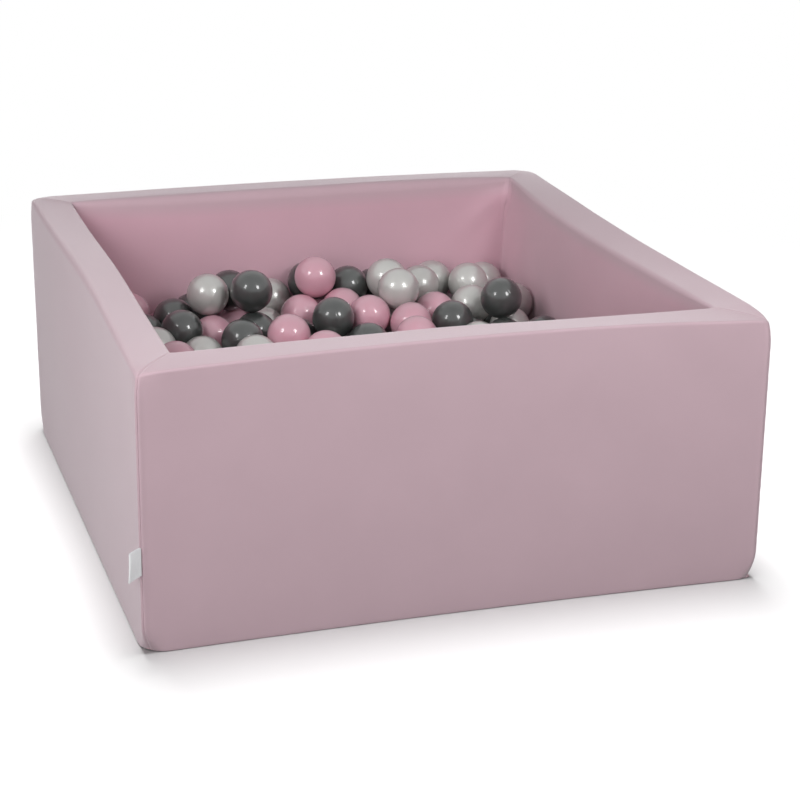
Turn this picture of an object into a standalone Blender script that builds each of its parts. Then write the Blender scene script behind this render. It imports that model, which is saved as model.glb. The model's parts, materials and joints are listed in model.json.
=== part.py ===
# Square foam ball pit: padded walls in a sewn cover, a zip in the base, and a filling of loose balls.
# Metres. +Z is up, +Y is the back of the pit, the origin is the middle of the underside.
import math
import random

import bmesh
import bpy
import numpy as np
from mathutils import Vector

# Pit body.
pit_side = 0.900
pit_height = 0.400
wall_thick = 0.060
cover_thick = 0.0012
floor_foam_thick = 0.030
fit_gap = 0.0003
rim_radius = 0.005

# How the soft walls give: they bow into the well at mid length and their corners are drawn in.
side_bow = 0.0095
front_bow = 0.013
back_bow = 0.003
side_rise = 0.003
front_rise = 0.006
back_rise = 0.005
rim_drop = 0.005
rim_corner_pull = 0.004
foot_corner_pull = 0.008
corner_reach = 0.040
corner_ease = 0.0006

# How much higher the rim lies at each corner, as the foam leans.
lift_front_left = -0.001
lift_front_right = 0.002
lift_back_right = 0.004
lift_back_left = 0.007

# Stations of the wall surfaces: along a wall, up its faces and round its rim.
length_shares = (-1, -0.95, -0.88, -0.60, -0.30, 0, 0.30, 0.60, 0.88, 0.95, 1)
leg_shares = (0.025, 0.05, 0.10, 0.30, 0.50, 0.70, 0.90, 0.96)
turn_shares = (0, 1 / 3, 2 / 3, 1)
smooth_deg = 48

# Zip in the base panel.
zip_from_back = 0.150
zip_from_side = 0.098
coil_half_width = 0.0032
coil_height = 0.0026
tape_end = 0.016
tape_thick = 0.0008
tape_top_outer = 0.0085
tape_slope_run = 0.0043
tape_lap = 0.0112
tape_lean = 0.0004
slot_end = 0.002
slot_width = 0.028
stop_length = 0.004
stop_half_width = 0.0028
slider_length = 0.011
slider_side = 0.0027
slider_plate = 0.0013
slider_rest = 0.017
lug_length = 0.0040
lug_foot = 0.0006
lug_thick = 0.0012
pin_radius = 0.0007
pin_above_lug_foot = 0.0016
pin_below_plate = 0.0014
pin_end = 0.0004
pull_length = 0.022
pull_neck = 0.006
pull_neck_half = 0.0015
pull_half_width = 0.0036
pull_thick = 0.0012

# Label in the front left corner seam.
label_reach = 0.0115
label_half_fold = 0.0010
label_thick = 0.0004
label_start = 0.0007
label_foot = 0.116
label_tall = 0.045
label_droop = 0.005
label_turn_share = 0.12

# Balls.
ball_radius = 0.035
neck_radius = 0.006
wall_ease = 0.0006
spread_ease = 0.0009
heap_at_wall = 0.125
heap_at_front_line = 0.180
heap_at_rear_line = 0.225
heap_line_from_middle = 0.100

# How the filling is laid, in shares of a ball's diameter and in counts.
lattice_share = 1.05
layer_share = 0.81
jitter_share = 0.06
climb_share = 0.17
raise_share = 0.43
floor_layer_share = 0.06
heap_depth_share = 0.64
heap_rear_share = 0.28
heap_blur_share = 0.28
heap_reach_share = 0.86
near_share = 0.76
under_side_share = 0.50
under_drop_share = 0.75
open_top_share = 0.45
fill_top_share = 0.75
spread_steps = 600
shown_weight_share = 0.12
spread_pace_share = 0.5
home_pull_share = 0.05
fill_seed = 17
loose_balls = 41
seen_clear_deg = 15
hidden_clear_deg = 24

# The balls that are seen: place across the well from the left wall, place from the front wall to the
# back wall, height of the middle as a share of the pit height, and colour.
shown_ball_shares = (
    (0.260, 0.860, 0.665, "pearl"),
    (0.340, 0.800, 0.700, "grey"),
    (0.330, 0.955, 0.620, "grey"),
    (0.425, 0.955, 0.585, "pearl"),
    (0.510, 0.955, 0.635, "grey"),
    (0.500, 0.870, 0.700, "pink"),
    (0.585, 0.905, 0.630, "grey"),
    (0.655, 0.955, 0.585, "grey"),
    (0.660, 0.860, 0.670, "pearl"),
    (0.655, 0.770, 0.680, "pearl"),
    (0.740, 0.885, 0.625, "pearl"),
    (0.795, 0.955, 0.600, "pearl"),
    (0.860, 0.890, 0.620, "pearl"),
    (0.920, 0.955, 0.575, "pearl"),
    (0.835, 0.805, 0.565, "pearl"),
    (0.870, 0.710, 0.645, "grey"),
    (0.955, 0.845, 0.535, "pearl"),
    (0.955, 0.660, 0.495, "grey"),
    (0.860, 0.660, 0.500, "grey"),
    (0.785, 0.615, 0.525, "pearl"),
    (0.755, 0.695, 0.570, "grey"),
    (0.750, 0.790, 0.555, "pink"),
    (0.840, 0.955, 0.445, "grey"),
    (0.660, 0.700, 0.580, "pink"),
    (0.645, 0.610, 0.570, "pink"),
    (0.585, 0.745, 0.595, "pink"),
    (0.550, 0.825, 0.585, "pink"),
    (0.490, 0.720, 0.605, "grey"),
    (0.555, 0.660, 0.530, "grey"),
    (0.460, 0.835, 0.565, "pink"),
    (0.380, 0.650, 0.595, "pink"),
    (0.420, 0.755, 0.525, "grey"),
    (0.440, 0.585, 0.560, "pink"),
    (0.390, 0.880, 0.490, "pearl"),
    (0.295, 0.700, 0.565, "grey"),
    (0.300, 0.610, 0.550, "pearl"),
    (0.265, 0.810, 0.525, "pink"),
    (0.340, 0.955, 0.450, "pink"),
    (0.190, 0.780, 0.565, "grey"),
    (0.190, 0.885, 0.555, "grey"),
    (0.245, 0.955, 0.530, "grey"),
    (0.105, 0.930, 0.570, "pink"),
    (0.165, 0.955, 0.465, "pink"),
    (0.115, 0.835, 0.530, "grey"),
    (0.120, 0.725, 0.545, "pearl"),
    (0.210, 0.700, 0.505, "pearl"),
    (0.140, 0.635, 0.535, "pink"),
)

# A ball under the highest grey one, which is out of sight.
prop_ball_share = (0.345, 0.785, 0.535)

ball_colours = {
    "pearl": (0.62, 0.61, 0.58),
    "grey": (0.100, 0.108, 0.104),
    "pink": (0.68, 0.35, 0.42),
}

half_side = pit_side / 2
zip_line_y = half_side - zip_from_back
coil_length = pit_side - 2 * zip_from_side
tape_length = coil_length + 2 * tape_end
slot_length = tape_length + 2 * slot_end
slider_place = coil_length / 2 - slider_rest
slider_half_width = coil_half_width + fit_gap + slider_side
pin_height = lug_foot + pin_above_lug_foot
plate_foot = pin_height + pin_below_plate
coil_level = plate_foot + slider_plate + fit_gap
tape_level = coil_level + coil_height
tape_lap_inner = tape_top_outer + tape_slope_run
tape_lap_outer = tape_lap_inner + tape_lap
lug_inner = pull_neck_half + fit_gap
lug_outer = lug_inner + lug_thick
pin_half_length = lug_outer + pin_end
half_well = half_side - wall_thick
foam_foot = cover_thick + fit_gap
floor_half = half_well + cover_thick
floor_foam_top = foam_foot + floor_foam_thick
floor_top = floor_foam_top + fit_gap + cover_thick
ball_size = 2 * ball_radius
touching = ball_size + fit_gap
spread_want = ball_size + spread_ease
ball_low = floor_top + fit_gap + ball_radius
mitre_ease = fit_gap / math.sqrt(2)


def clear_scene():
    """Remove every object that the session starts with."""
    for item in list(bpy.data.objects):
        bpy.data.objects.remove(item, do_unlink=True)


def material(name, colour, roughness, metallic=0.0):
    """One Principled material."""
    made = bpy.data.materials.new(name)
    made.use_nodes = True
    shader = made.node_tree.nodes["Principled BSDF"]
    shader.inputs["Base Color"].default_value = (*colour, 1)
    shader.inputs["Roughness"].default_value = roughness
    shader.inputs["Metallic"].default_value = metallic
    return made


def solid(name, points, faces, look, origin=(0, 0, 0)):
    """One closed object from points and faces, with its origin at the given point."""
    shell = bmesh.new()
    corners = [shell.verts.new(Vector(point) - Vector(origin)) for point in points]
    for face in faces:
        shell.faces.new([corners[index] for index in face])
    bmesh.ops.recalc_face_normals(shell, faces=shell.faces)
    bmesh.ops.triangulate(shell, faces=[face for face in shell.faces if len(face.verts) > 3])
    mesh = bpy.data.meshes.new(name)
    shell.to_mesh(mesh)
    shell.free()
    mesh.shade_smooth()
    mesh.set_sharp_from_angle(angle=math.radians(smooth_deg))
    made = bpy.data.objects.new(name, mesh)
    made.location = origin
    mesh.materials.append(look)
    bpy.context.scene.collection.objects.link(made)
    return made


def combine(target, tool, operation):
    """Apply one Boolean step to the target and remove the tool."""
    step = target.modifiers.new("step", "BOOLEAN")
    step.operation = operation
    step.solver = "EXACT"
    step.object = tool
    bpy.context.view_layer.update()
    graph = bpy.context.evaluated_depsgraph_get()
    result = bpy.data.meshes.new_from_object(target.evaluated_get(graph))
    target.modifiers.remove(step)
    target.data = result
    bpy.data.objects.remove(tool, do_unlink=True)
    bpy.context.view_layer.update()


def prism(section, low, high, place):
    """Points and faces of a section drawn out from low to high; place turns (a, b, along) into x, y, z."""
    count = len(section)
    points = [place(a, b, low) for a, b in section] + [place(a, b, high) for a, b in section]
    faces = [tuple(range(count)), tuple(range(count, 2 * count))]
    for index in range(count):
        follow = (index + 1) % count
        faces.append((index, follow, count + follow, count + index))
    return points, faces


def box(low, high):
    """Points and faces of an upright box between two corners."""
    section = ((low[0], low[1]), (high[0], low[1]), (high[0], high[1]), (low[0], high[1]))
    return prism(section, low[2], high[2], lambda a, b, along: (a, b, along))


def arc(centre_a, centre_b, radius, start_deg, end_deg, steps):
    """Points on an arc, both ends included."""
    turns = [math.radians(start_deg + (end_deg - start_deg) * step / steps) for step in range(steps + 1)]
    return [(centre_a + radius * math.cos(t), centre_b + radius * math.sin(t)) for t in turns]


def fade(distance):
    """Share of the corner pull left at a distance from a face."""
    return max(0.0, 1 - distance / corner_reach) ** 2


def rim_lean(x, y):
    """How much higher the rim lies at a place, from the lifts of the four corners."""
    right = (x / half_side + 1) / 2
    back = (y / half_side + 1) / 2
    front_lift = lift_front_left * (1 - right) + lift_front_right * right
    back_lift = lift_back_left * (1 - right) + lift_back_right * right
    return front_lift * (1 - back) + back_lift * back


def shaped(x, y, z, ease=0):
    """Where a point of the straight pit lies once soft; inner pieces ease a little farther from a corner."""
    open_x = 1 - (x / half_side) ** 2
    open_y = 1 - (y / half_side) ** 2
    high = (z / pit_height) ** 2
    bow_y = front_bow if y < 0 else back_bow
    rise_y = front_rise if y < 0 else back_rise
    in_x = min(max((half_side - abs(x)) / wall_thick, 0), 1)
    in_y = min(max((half_side - abs(y)) / wall_thick, 0), 1)
    lift_y = open_x * (rise_y * (1 - in_y) - rim_drop * in_y)
    lift_x = open_y * (side_rise * (1 - in_x) - rim_drop * in_x)
    corner = fade(half_side - abs(x)) * fade(half_side - abs(y))
    upper = (rim_corner_pull + ease) * corner * fade(pit_height - z)
    lower = (foot_corner_pull + ease) * corner * fade(z)
    new_x = x - x / half_side * side_bow * open_y * high - math.copysign(upper + lower, x)
    new_y = y - y / half_side * bow_y * open_x * high - math.copysign(upper + lower, y)
    new_z = z + high**2 * (lift_x + lift_y + rim_lean(x, y)) - upper + lower
    return new_x, new_y, new_z


def wrap_path(inset, outer_foot, inner_foot):
    """Wall section as (depth, height) points: up the outside, over the rim and down the inside."""
    bend = rim_radius - inset
    spring = pit_height - rim_radius
    heights = [share * spring for share in leg_shares]
    path = [(inset, outer_foot)] + [(inset, z) for z in heights if z > outer_foot]
    for share in turn_shares:
        turn = share * math.pi / 2
        path.append((rim_radius - bend * math.cos(turn), spring + bend * math.sin(turn)))
    path.append((wall_thick / 2, pit_height - inset))
    for share in turn_shares:
        turn = share * math.pi / 2
        path.append((wall_thick - rim_radius + bend * math.sin(turn), spring + bend * math.cos(turn)))
    path += [(wall_thick - inset, z) for z in reversed(heights) if z > inner_foot]
    path.append((wall_thick - inset, inner_foot))
    return path


def on_wall(quarter, along, depth, z, ease):
    """A point of a wall, by quarter turns from the front wall, in its soft form."""
    x = along
    y = depth - half_side
    for _ in range(quarter):
        x, y = -y, x
    return shaped(x, y, z, ease)


def wall_grid(quarter, path, ease=0):
    """Rows of points along a wall, with mitred ends, one row to a length station."""
    rows = []
    for share in length_shares:
        row = []
        for depth, z in path:
            row.append(on_wall(quarter, share * (half_side - depth - mitre_ease), depth, z, ease))
        rows.append(row)
    return rows


def grid_faces(rows, columns, start):
    """Triangles between neighbouring rows of a grid of points."""
    faces = []
    for row in range(rows - 1):
        for column in range(columns - 1):
            first = start + row * columns + column
            after = first + columns
            faces.append((first, after, after + 1))
            faces.append((first, after + 1, first + 1))
    return faces


def cover_panel(name, quarter, look):
    """One long cover panel: a cloth that wraps the outer face, the rim and the inner face of a wall."""
    inner_foot = floor_top + fit_gap
    outside = wall_grid(quarter, wrap_path(0, 0, inner_foot))
    inside = wall_grid(quarter, wrap_path(cover_thick, 0, inner_foot))
    rows = len(outside)
    columns = len(outside[0])
    points = [point for row in outside for point in row] + [point for row in inside for point in row]
    shift = rows * columns
    faces = grid_faces(rows, columns, 0) + grid_faces(rows, columns, shift)
    for row in range(rows - 1):
        for column in (0, columns - 1):
            first = row * columns + column
            faces.append((first, first + columns, shift + first + columns, shift + first))
    for row in (0, rows - 1):
        for column in range(columns - 1):
            first = row * columns + column
            faces.append((first, first + 1, shift + first + 1, shift + first))
    return solid(name, points, faces, look)


def foam_wall(name, quarter, look):
    """One wall board with mitred ends, standing on the base panel."""
    rows_of_points = wall_grid(quarter, wrap_path(foam_foot, foam_foot, foam_foot), corner_ease)
    rows = len(rows_of_points)
    columns = len(rows_of_points[0])
    points = [point for row in rows_of_points for point in row]
    faces = grid_faces(rows, columns, 0)
    for row in range(rows - 1):
        first = row * columns
        faces.append((first, first + columns, first + 2 * columns - 1, first + columns - 1))
    middle = columns // 2
    for row in (0, rows - 1):
        start = row * columns
        end = start + columns - 1
        for column in range(middle - 1):
            faces.append((start + column, start + column + 1, end - column - 1, end - column))
        faces.append((start + middle - 1, start + middle, start + middle + 1))
    return solid(name, points, faces, look)


def base_panel(name, look):
    """The underside cloth, with the slot for the zip, following the drawn-in corners."""
    half = half_side - cover_thick - fit_gap
    slot_half = slot_length / 2
    slot_ends = (zip_line_y - slot_width / 2, zip_line_y + slot_width / 2)
    ends = [share * half for share in length_shares if abs(share) > 0.8]
    across = sorted(ends + [-slot_half, 0, slot_half])
    deep = sorted(ends + list(slot_ends))
    points = []
    for z in (0, cover_thick):
        points += [shaped(x, y, z, corner_ease) for x in across for y in deep]
    shift = len(across) * len(deep)
    faces = []
    for i in range(len(across) - 1):
        for j in range(len(deep) - 1):
            if base_cell(across, deep, i, j):
                first = i * len(deep) + j
                cell = (first, first + 1, first + len(deep) + 1, first + len(deep))
                faces.append(cell)
                faces.append(tuple(index + shift for index in cell))
                sides = ((i, j - 1), (i + 1, j), (i, j + 1), (i - 1, j))
                edges = ((0, 3), (2, 3), (1, 2), (0, 1))
                for (next_i, next_j), (a, b) in zip(sides, edges):
                    if not base_cell(across, deep, next_i, next_j):
                        faces.append((cell[a], cell[b], cell[b] + shift, cell[a] + shift))
    return solid(name, points, faces, look)


def base_cell(across, deep, i, j):
    """Whether a cell of the base panel's grid is cloth: inside the panel and outside the slot."""
    if not (0 <= i < len(across) - 1 and 0 <= j < len(deep) - 1):
        return False
    middle_x = (across[i] + across[i + 1]) / 2
    middle_y = (deep[j] + deep[j + 1]) / 2
    in_slot = abs(middle_x) < slot_length / 2 and abs(middle_y - zip_line_y) < slot_width / 2
    return not in_slot


def floor_board(name, look):
    """The floor foam, with a groove over the zip."""
    groove_top = tape_level + tape_thick + fit_gap
    lap_top = foam_foot + tape_thick + fit_gap
    lap = tape_lap_outer + fit_gap
    deep = tape_lap_inner + 2 * tape_lean
    section = (
        (-floor_half, foam_foot),
        (zip_line_y - lap, foam_foot),
        (zip_line_y - lap, lap_top),
        (zip_line_y - deep, lap_top),
        (zip_line_y - deep, groove_top),
        (zip_line_y + deep, groove_top),
        (zip_line_y + deep, lap_top),
        (zip_line_y + lap, lap_top),
        (zip_line_y + lap, foam_foot),
        (floor_half, foam_foot),
        (floor_half, floor_foam_top),
        (-floor_half, floor_foam_top),
    )
    points, faces = prism(section, -floor_half, floor_half, lambda a, b, along: (along, a, b))
    return solid(name, points, faces, look)


def floor_panel(name, look):
    """The cloth on the floor of the well."""
    low = (-floor_half, -floor_half, floor_foam_top + fit_gap)
    high = (floor_half, floor_half, floor_top)
    points, faces = box(low, high)
    return solid(name, points, faces, look)


def zip_tape(name, side, look):
    """One zip tape with its row of coil; side is 1 for the rear tape and -1 for the front one."""
    foot = cover_thick + fit_gap
    level = tape_level
    section = (
        (fit_gap / 2, level),
        (tape_top_outer, level),
        (tape_lap_inner, foot),
        (tape_lap_outer, foot),
        (tape_lap_outer, foot + tape_thick),
        (tape_lap_inner + tape_lean, foot + tape_thick),
        (tape_top_outer + tape_lean, level + tape_thick),
        (fit_gap / 2, level + tape_thick),
    )
    place = lambda a, b, along: (along, zip_line_y + side * a, b)
    points, faces = prism(section, -tape_length / 2, tape_length / 2, place)
    tape = solid(name, points, faces, look)
    inner = fit_gap / 2
    middle = level + tape_thick / 2
    coil = ((inner, coil_level), (coil_half_width, coil_level), (coil_half_width, middle), (inner, middle))
    points, faces = prism(coil, -coil_length / 2, coil_length / 2, place)
    combine(tape, solid("coil", points, faces, look), "UNION")
    return tape


def zip_stop(name, side, look):
    """The block at one end of the coils; side is 1 at the right end."""
    start = coil_length / 2 + fit_gap
    low_x = min(side * start, side * (start + stop_length))
    low = (low_x, zip_line_y - stop_half_width, coil_level)
    high = (low_x + stop_length, zip_line_y + stop_half_width, tape_level - fit_gap)
    points, faces = box(low, high)
    return solid(name, points, faces, look)


def zip_slider(name, look):
    """The runner: a plate under the coils with two raised sides, and two lugs for the pull's pin."""
    plate_top = plate_foot + slider_plate
    wing = coil_half_width + fit_gap
    top = tape_level - fit_gap
    section = (
        (-slider_half_width, plate_foot),
        (slider_half_width, plate_foot),
        (slider_half_width, top),
        (wing, top),
        (wing, plate_top),
        (-wing, plate_top),
        (-wing, top),
        (-slider_half_width, top),
    )
    place = lambda a, b, along: (slider_place + along, zip_line_y + a, b)
    points, faces = prism(section, -slider_length / 2, slider_length / 2, place)
    origin = (slider_place, zip_line_y, plate_top)
    runner = solid(name, points, faces, look, origin)
    for side in (-1, 1):
        ends = sorted((side * lug_inner, side * lug_outer))
        low = (slider_place - lug_length / 2, zip_line_y + ends[0], lug_foot)
        high = (slider_place + lug_length / 2, zip_line_y + ends[1], plate_foot + slider_plate / 2)
        points, faces = box(low, high)
        combine(runner, solid("lug", points, faces, look), "UNION")
    hole = arc(slider_place, pin_height, pin_radius + fit_gap, 0, 315, 7)
    cross = lambda a, b, along: (a, zip_line_y + along, b)
    points, faces = prism(hole, -slider_half_width, slider_half_width, cross)
    combine(runner, solid("hole", points, faces, look), "DIFFERENCE")
    return runner


def zip_pull(name, look):
    """The pull tab with its cross pin, lying back along the coils."""
    origin = (slider_place, zip_line_y, pin_height)
    end = slider_place - pull_length
    shoulder = slider_place - pull_neck
    tip = [(x, y) for x, y in arc(end + pull_half_width, zip_line_y, pull_half_width, 90, 270, 6)]
    outline = [
        (slider_place + pull_thick / 2, zip_line_y - pull_neck_half),
        (slider_place + pull_thick / 2, zip_line_y + pull_neck_half),
        (shoulder, zip_line_y + pull_neck_half),
        (shoulder - pull_half_width / 2, zip_line_y + pull_half_width),
    ]
    outline += tip
    outline += [
        (shoulder - pull_half_width / 2, zip_line_y - pull_half_width),
        (shoulder, zip_line_y - pull_neck_half),
    ]
    low = pin_height - pull_thick / 2
    points, faces = prism(outline, low, low + pull_thick, lambda a, b, along: (a, b, along))
    tab = solid(name, points, faces, look, origin)
    ring = arc(slider_place, pin_height, pin_radius, 22.5, 337.5, 7)
    cross = lambda a, b, along: (a, zip_line_y + along, b)
    points, faces = prism(ring, -pin_half_length, pin_half_length, cross)
    combine(tab, solid("pin", points, faces, look), "UNION")
    return tab


def side_label(name, look):
    """A folded strip standing out of the corner seam, its outer end hanging a little."""
    turn = math.pi * (1 + label_turn_share)
    out = Vector((math.cos(turn), math.sin(turn)))
    aside = Vector((-out.y, out.x))
    outer = [(label_start, -label_half_fold)]
    outer += arc(label_reach - label_half_fold, 0, label_half_fold, -90, 90, 6)
    outer += [(label_start, label_half_fold)]
    inner_fold = label_half_fold - label_thick
    inner = [(label_start, inner_fold)]
    inner += arc(label_reach - label_half_fold, 0, inner_fold, 90, -90, 6)
    inner += [(label_start, -inner_fold)]

    def place(a, b, along):
        spot = out * a + aside * b
        hang = label_droop * (a / label_reach) ** 2
        return spot.x - half_side, spot.y - half_side, along - hang

    points, faces = prism(outer + inner, label_foot, label_foot + label_tall, place)
    count = len(outer)
    whole = 2 * count
    faces = faces[2:]
    for index in range(count - 1):
        other = whole - 1 - index
        faces.append((index, index + 1, other - 1, other))
        faces.append((whole + index, whole + index + 1, whole + other - 1, whole + other))
    return solid(name, points, faces, look)


def keep_in_well(places):
    """Hold ball middles inside the bowed walls."""
    high = (places[:, 2] / pit_height) ** 2 * half_well / half_side
    room = half_well - ball_radius - wall_ease
    room_x = room - side_bow * (1 - (places[:, 1] / half_side) ** 2) * high
    bow_y = np.where(places[:, 1] < 0, front_bow, back_bow)
    room_y = room - bow_y * (1 - (places[:, 0] / half_side) ** 2) * high
    places[:, 0] = np.minimum(np.maximum(places[:, 0], -room_x), room_x)
    places[:, 1] = np.minimum(np.maximum(places[:, 1], -room_y), room_y)


def lattice(rng):
    """Rows and layers of ball places through the whole well, a little out of line."""
    places = []
    pitch = lattice_share * ball_size
    jitter = jitter_share * ball_size
    layer = 0
    z = ball_low
    while z < fill_top_share * pit_height:
        shift = pitch * math.sqrt(3) / 6 if layer % 2 else 0
        row = 0
        y = -half_well
        while y <= half_well + pitch:
            x = -half_well + (pitch / 2 if row % 2 else 0)
            while x <= half_well + pitch:
                aside = rng.uniform(-1, 1) * jitter
                back = rng.uniform(-1, 1) * jitter
                places.append((x + aside, y + shift + back, z))
                x += pitch
            y += pitch * math.sqrt(3) / 2
            row += 1
        z += layer_share * ball_size
        layer += 1
    places = np.array(places)
    edge = half_well - ball_radius + jitter
    places = places[(abs(places[:, :2]) <= edge).all(1)]
    keep_in_well(places)
    return places


def below_heap(places, shown):
    """Which lattice places lie under the seen surface of the heap and clear of the seen balls."""
    apart = np.sqrt(((places[:, None] - shown[None]) ** 2).sum(2))
    clear = apart.min(1) > near_share * ball_size
    side_sq = ((places[:, None, :2] - shown[None, :, :2]) ** 2).sum(2)
    weight = 1 / (side_sq / (heap_blur_share * ball_size) ** 2 + 1) ** 2
    surface = (weight * shown[None, :, 2]).sum(1) / weight.sum(1)
    close = np.sqrt(side_sq).min(1) < heap_reach_share * ball_size
    lines = (-half_well, -heap_line_from_middle, heap_line_from_middle)
    front = np.interp(places[:, 1], lines, (heap_at_wall, heap_at_front_line, heap_at_rear_line))
    open_top = np.where(places[:, 1] > heap_line_from_middle, surface - heap_rear_share * ball_size, front)
    top = np.where(close, surface - heap_depth_share * ball_size, open_top)
    beside = side_sq < (under_side_share * ball_size) ** 2
    lower = places[:, None, 2] < shown[None, :, 2] - under_drop_share * ball_size
    return clear & ((places[:, 2] <= top) | (beside & lower).any(1))


def spread(places, held):
    """Push balls that run into each other apart; the seen ones give little and are drawn back."""
    home = places[:held].copy()
    ceiling = places[:, 2] + climb_share * ball_size
    ceiling[:held] = pit_height
    weight = np.ones(len(places))
    weight[:held] = shown_weight_share
    first, second = np.triu_indices(len(places), 1)
    for step in range(spread_steps):
        link = places[second] - places[first]
        square = (link * link).sum(1)
        tight = square < spread_want**2
        i = first[tight]
        j = second[tight]
        length = np.sqrt(square[tight])
        share = (spread_want - length) / length * spread_pace_share / (weight[i] + weight[j])
        push = share[:, None] * link[tight]
        move = np.zeros_like(places)
        np.add.at(move, i, -push * weight[i][:, None])
        np.add.at(move, j, push * weight[j][:, None])
        places += move
        places[:held] += (home - places[:held]) * home_pull_share * (1 - step / spread_steps)
        keep_in_well(places)
        places[:, 2] = np.minimum(np.maximum(places[:, 2], ball_low), ceiling)


def over(places, index, above):
    """Which balls another ball would meet going straight up or down, and how far off in height."""
    side_sq = ((places[:, :2] - places[index, :2]) ** 2).sum(1)
    if above:
        meets = (side_sq < touching**2) & (places[:, 2] > places[index, 2])
    else:
        meets = (side_sq < touching**2) & (places[:, 2] <= places[index, 2])
    meets[index] = False
    return places[meets, 2], np.sqrt(touching**2 - side_sq[meets])


def seat_hidden(places, held):
    """Stand the lowest balls on the floor and raise the others until they touch one above."""
    for index in np.argsort(-places[:, 2], kind="stable"):
        if index < held:
            continue
        if places[index, 2] < ball_low + floor_layer_share * ball_size:
            places[index, 2] = ball_low
            continue
        heights, reach = over(places, index, True)
        if len(heights):
            rise = (heights - reach).min() - places[index, 2]
            if 0 < rise < raise_share * ball_size:
                places[index, 2] += rise


def is_topmost(places):
    """Which balls have no higher ball over any part of them."""
    return not_under(places, touching)


def not_under(places, reach):
    """Which balls have no higher ball whose middle lies within a reach to the side."""
    side_sq = ((places[:, None, :2] - places[None, :, :2]) ** 2).sum(2)
    above = (places[None, :, 2] > places[:, None, 2]) & (side_sq < reach**2)
    return ~above.any(1)


def drop(places, chosen):
    """Let the chosen balls down, lowest first, until each one rests on something."""
    for index in np.argsort(places[:, 2], kind="stable"):
        if chosen[index]:
            heights, reach = over(places, index, False)
            rest = ball_low
            if len(heights):
                rest = max(rest, (heights + reach).max())
            places[index, 2] = min(places[index, 2], rest)


def clear_up(places):
    """Raise, lowest first, each ball that still runs into a lower one until it rests on it."""
    order = np.argsort(places[:, 2], kind="stable")
    for position, index in enumerate(order):
        lower = places[order[:position]]
        for _ in range(len(lower)):
            side_sq = ((lower[:, :2] - places[index, :2]) ** 2).sum(1)
            square = side_sq + (lower[:, 2] - places[index, 2]) ** 2
            hit = square < ball_size**2
            if not hit.any():
                break
            places[index, 2] = (lower[hit, 2] + np.sqrt(touching**2 - side_sq[hit])).max()


def can_lift(places):
    """Which balls can be lifted straight out past the bowed rim."""
    room = half_well - ball_radius - fit_gap
    room_x = room - side_bow * (1 - (places[:, 1] / half_side) ** 2) * half_well / half_side
    bow_y = np.where(places[:, 1] < 0, front_bow, back_bow)
    room_y = room - bow_y * (1 - (places[:, 0] / half_side) ** 2) * half_well / half_side
    return is_topmost(places) & (abs(places[:, 0]) <= room_x) & (abs(places[:, 1]) <= room_y)


def fill_well():
    """Middles of all balls, seen ones first, and how many are seen."""
    rows = [row[:3] for row in shown_ball_shares] + [prop_ball_share]
    well = 2 * half_well
    shown = np.array([((a - 0.5) * well, (b - 0.5) * well, c * pit_height) for a, b, c in rows])
    rng = random.Random(fill_seed)
    hidden = lattice(rng)
    hidden = hidden[below_heap(hidden, shown)]
    places = np.concatenate([shown, hidden])
    spread(places, len(shown))
    clear_up(places)
    seat_hidden(places, len(shown))
    chosen = is_topmost(places)
    chosen[: len(shown)] = True
    drop(places, chosen)
    return places


def pick_loose(places):
    """The balls with joints: the seen ones that can be lifted out, then others from the front wall back."""
    liftable = can_lift(places)
    free = [index for index in range(len(places)) if liftable[index]]
    seen = [index for index in free if index < len(shown_ball_shares)]
    rest = [index for index in free if index >= len(shown_ball_shares)]
    rest.sort(key=lambda index: places[index, 1])
    return sorted(seen + rest[: loose_balls - len(seen)])


def spanning_links(places):
    """Shortest set of links that joins all of the places, as index pairs."""
    apart = np.sqrt(((places[:, None] - places[None]) ** 2).sum(2))
    joined = np.zeros(len(places), bool)
    joined[0] = True
    nearest = apart[0].copy()
    parent = np.zeros(len(places), int)
    links = []
    while not joined.all():
        reach = np.where(joined, np.inf, nearest)
        index = int(np.argmin(reach))
        links.append((int(parent[index]), index))
        joined[index] = True
        closer = apart[index] < nearest
        parent[closer] = index
        nearest = np.minimum(nearest, apart[index])
    return links


def fine_directions():
    """Thirty-two even directions: the corners of an icosahedron and of a dodecahedron."""
    golden = (1 + math.sqrt(5)) / 2
    corners = []
    for a in (-1, 1):
        for b in (-golden, golden):
            corners += [(0, a, b), (a, b, 0), (b, 0, a)]
            corners += [(0, a / golden, b), (a / golden, b, 0), (b, 0, a / golden)]
            corners += [(a, b / golden, 1), (a, b / golden, -1)]
    return [Vector(corner).normalized() for corner in corners]


def axis_directions():
    """Six directions: up, down and four to the sides."""
    return [Vector(d) for d in ((1, 0, 0), (-1, 0, 0), (0, 1, 0), (0, -1, 0), (0, 0, 1), (0, 0, -1))]


def medium_directions():
    """Eighteen directions: six axes and the twelve half way between them."""
    halves = []
    for a in (-1, 1):
        for b in (-1, 1):
            halves += [(a, b, 0), (a, 0, b), (0, a, b)]
    return axis_directions() + [Vector(half).normalized() for half in halves]


def clear_of(directions, kept, clear_deg):
    """The directions that lie farther than an angle from each kept one."""
    limit = math.cos(math.radians(clear_deg))
    return [d for d in directions if all(d.dot(other) < limit for other in kept)]


def hull_triangles(points):
    """Triangles of the convex hull of a few points, as index triples."""
    shell = bmesh.new()
    corners = [shell.verts.new(point) for point in points]
    number = {corner: index for index, corner in enumerate(corners)}
    bmesh.ops.convex_hull(shell, input=corners)
    bmesh.ops.triangulate(shell, faces=[face for face in shell.faces if len(face.verts) > 3])
    faces = [tuple(number[corner] for corner in face.verts) for face in shell.faces]
    shell.free()
    return faces


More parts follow.
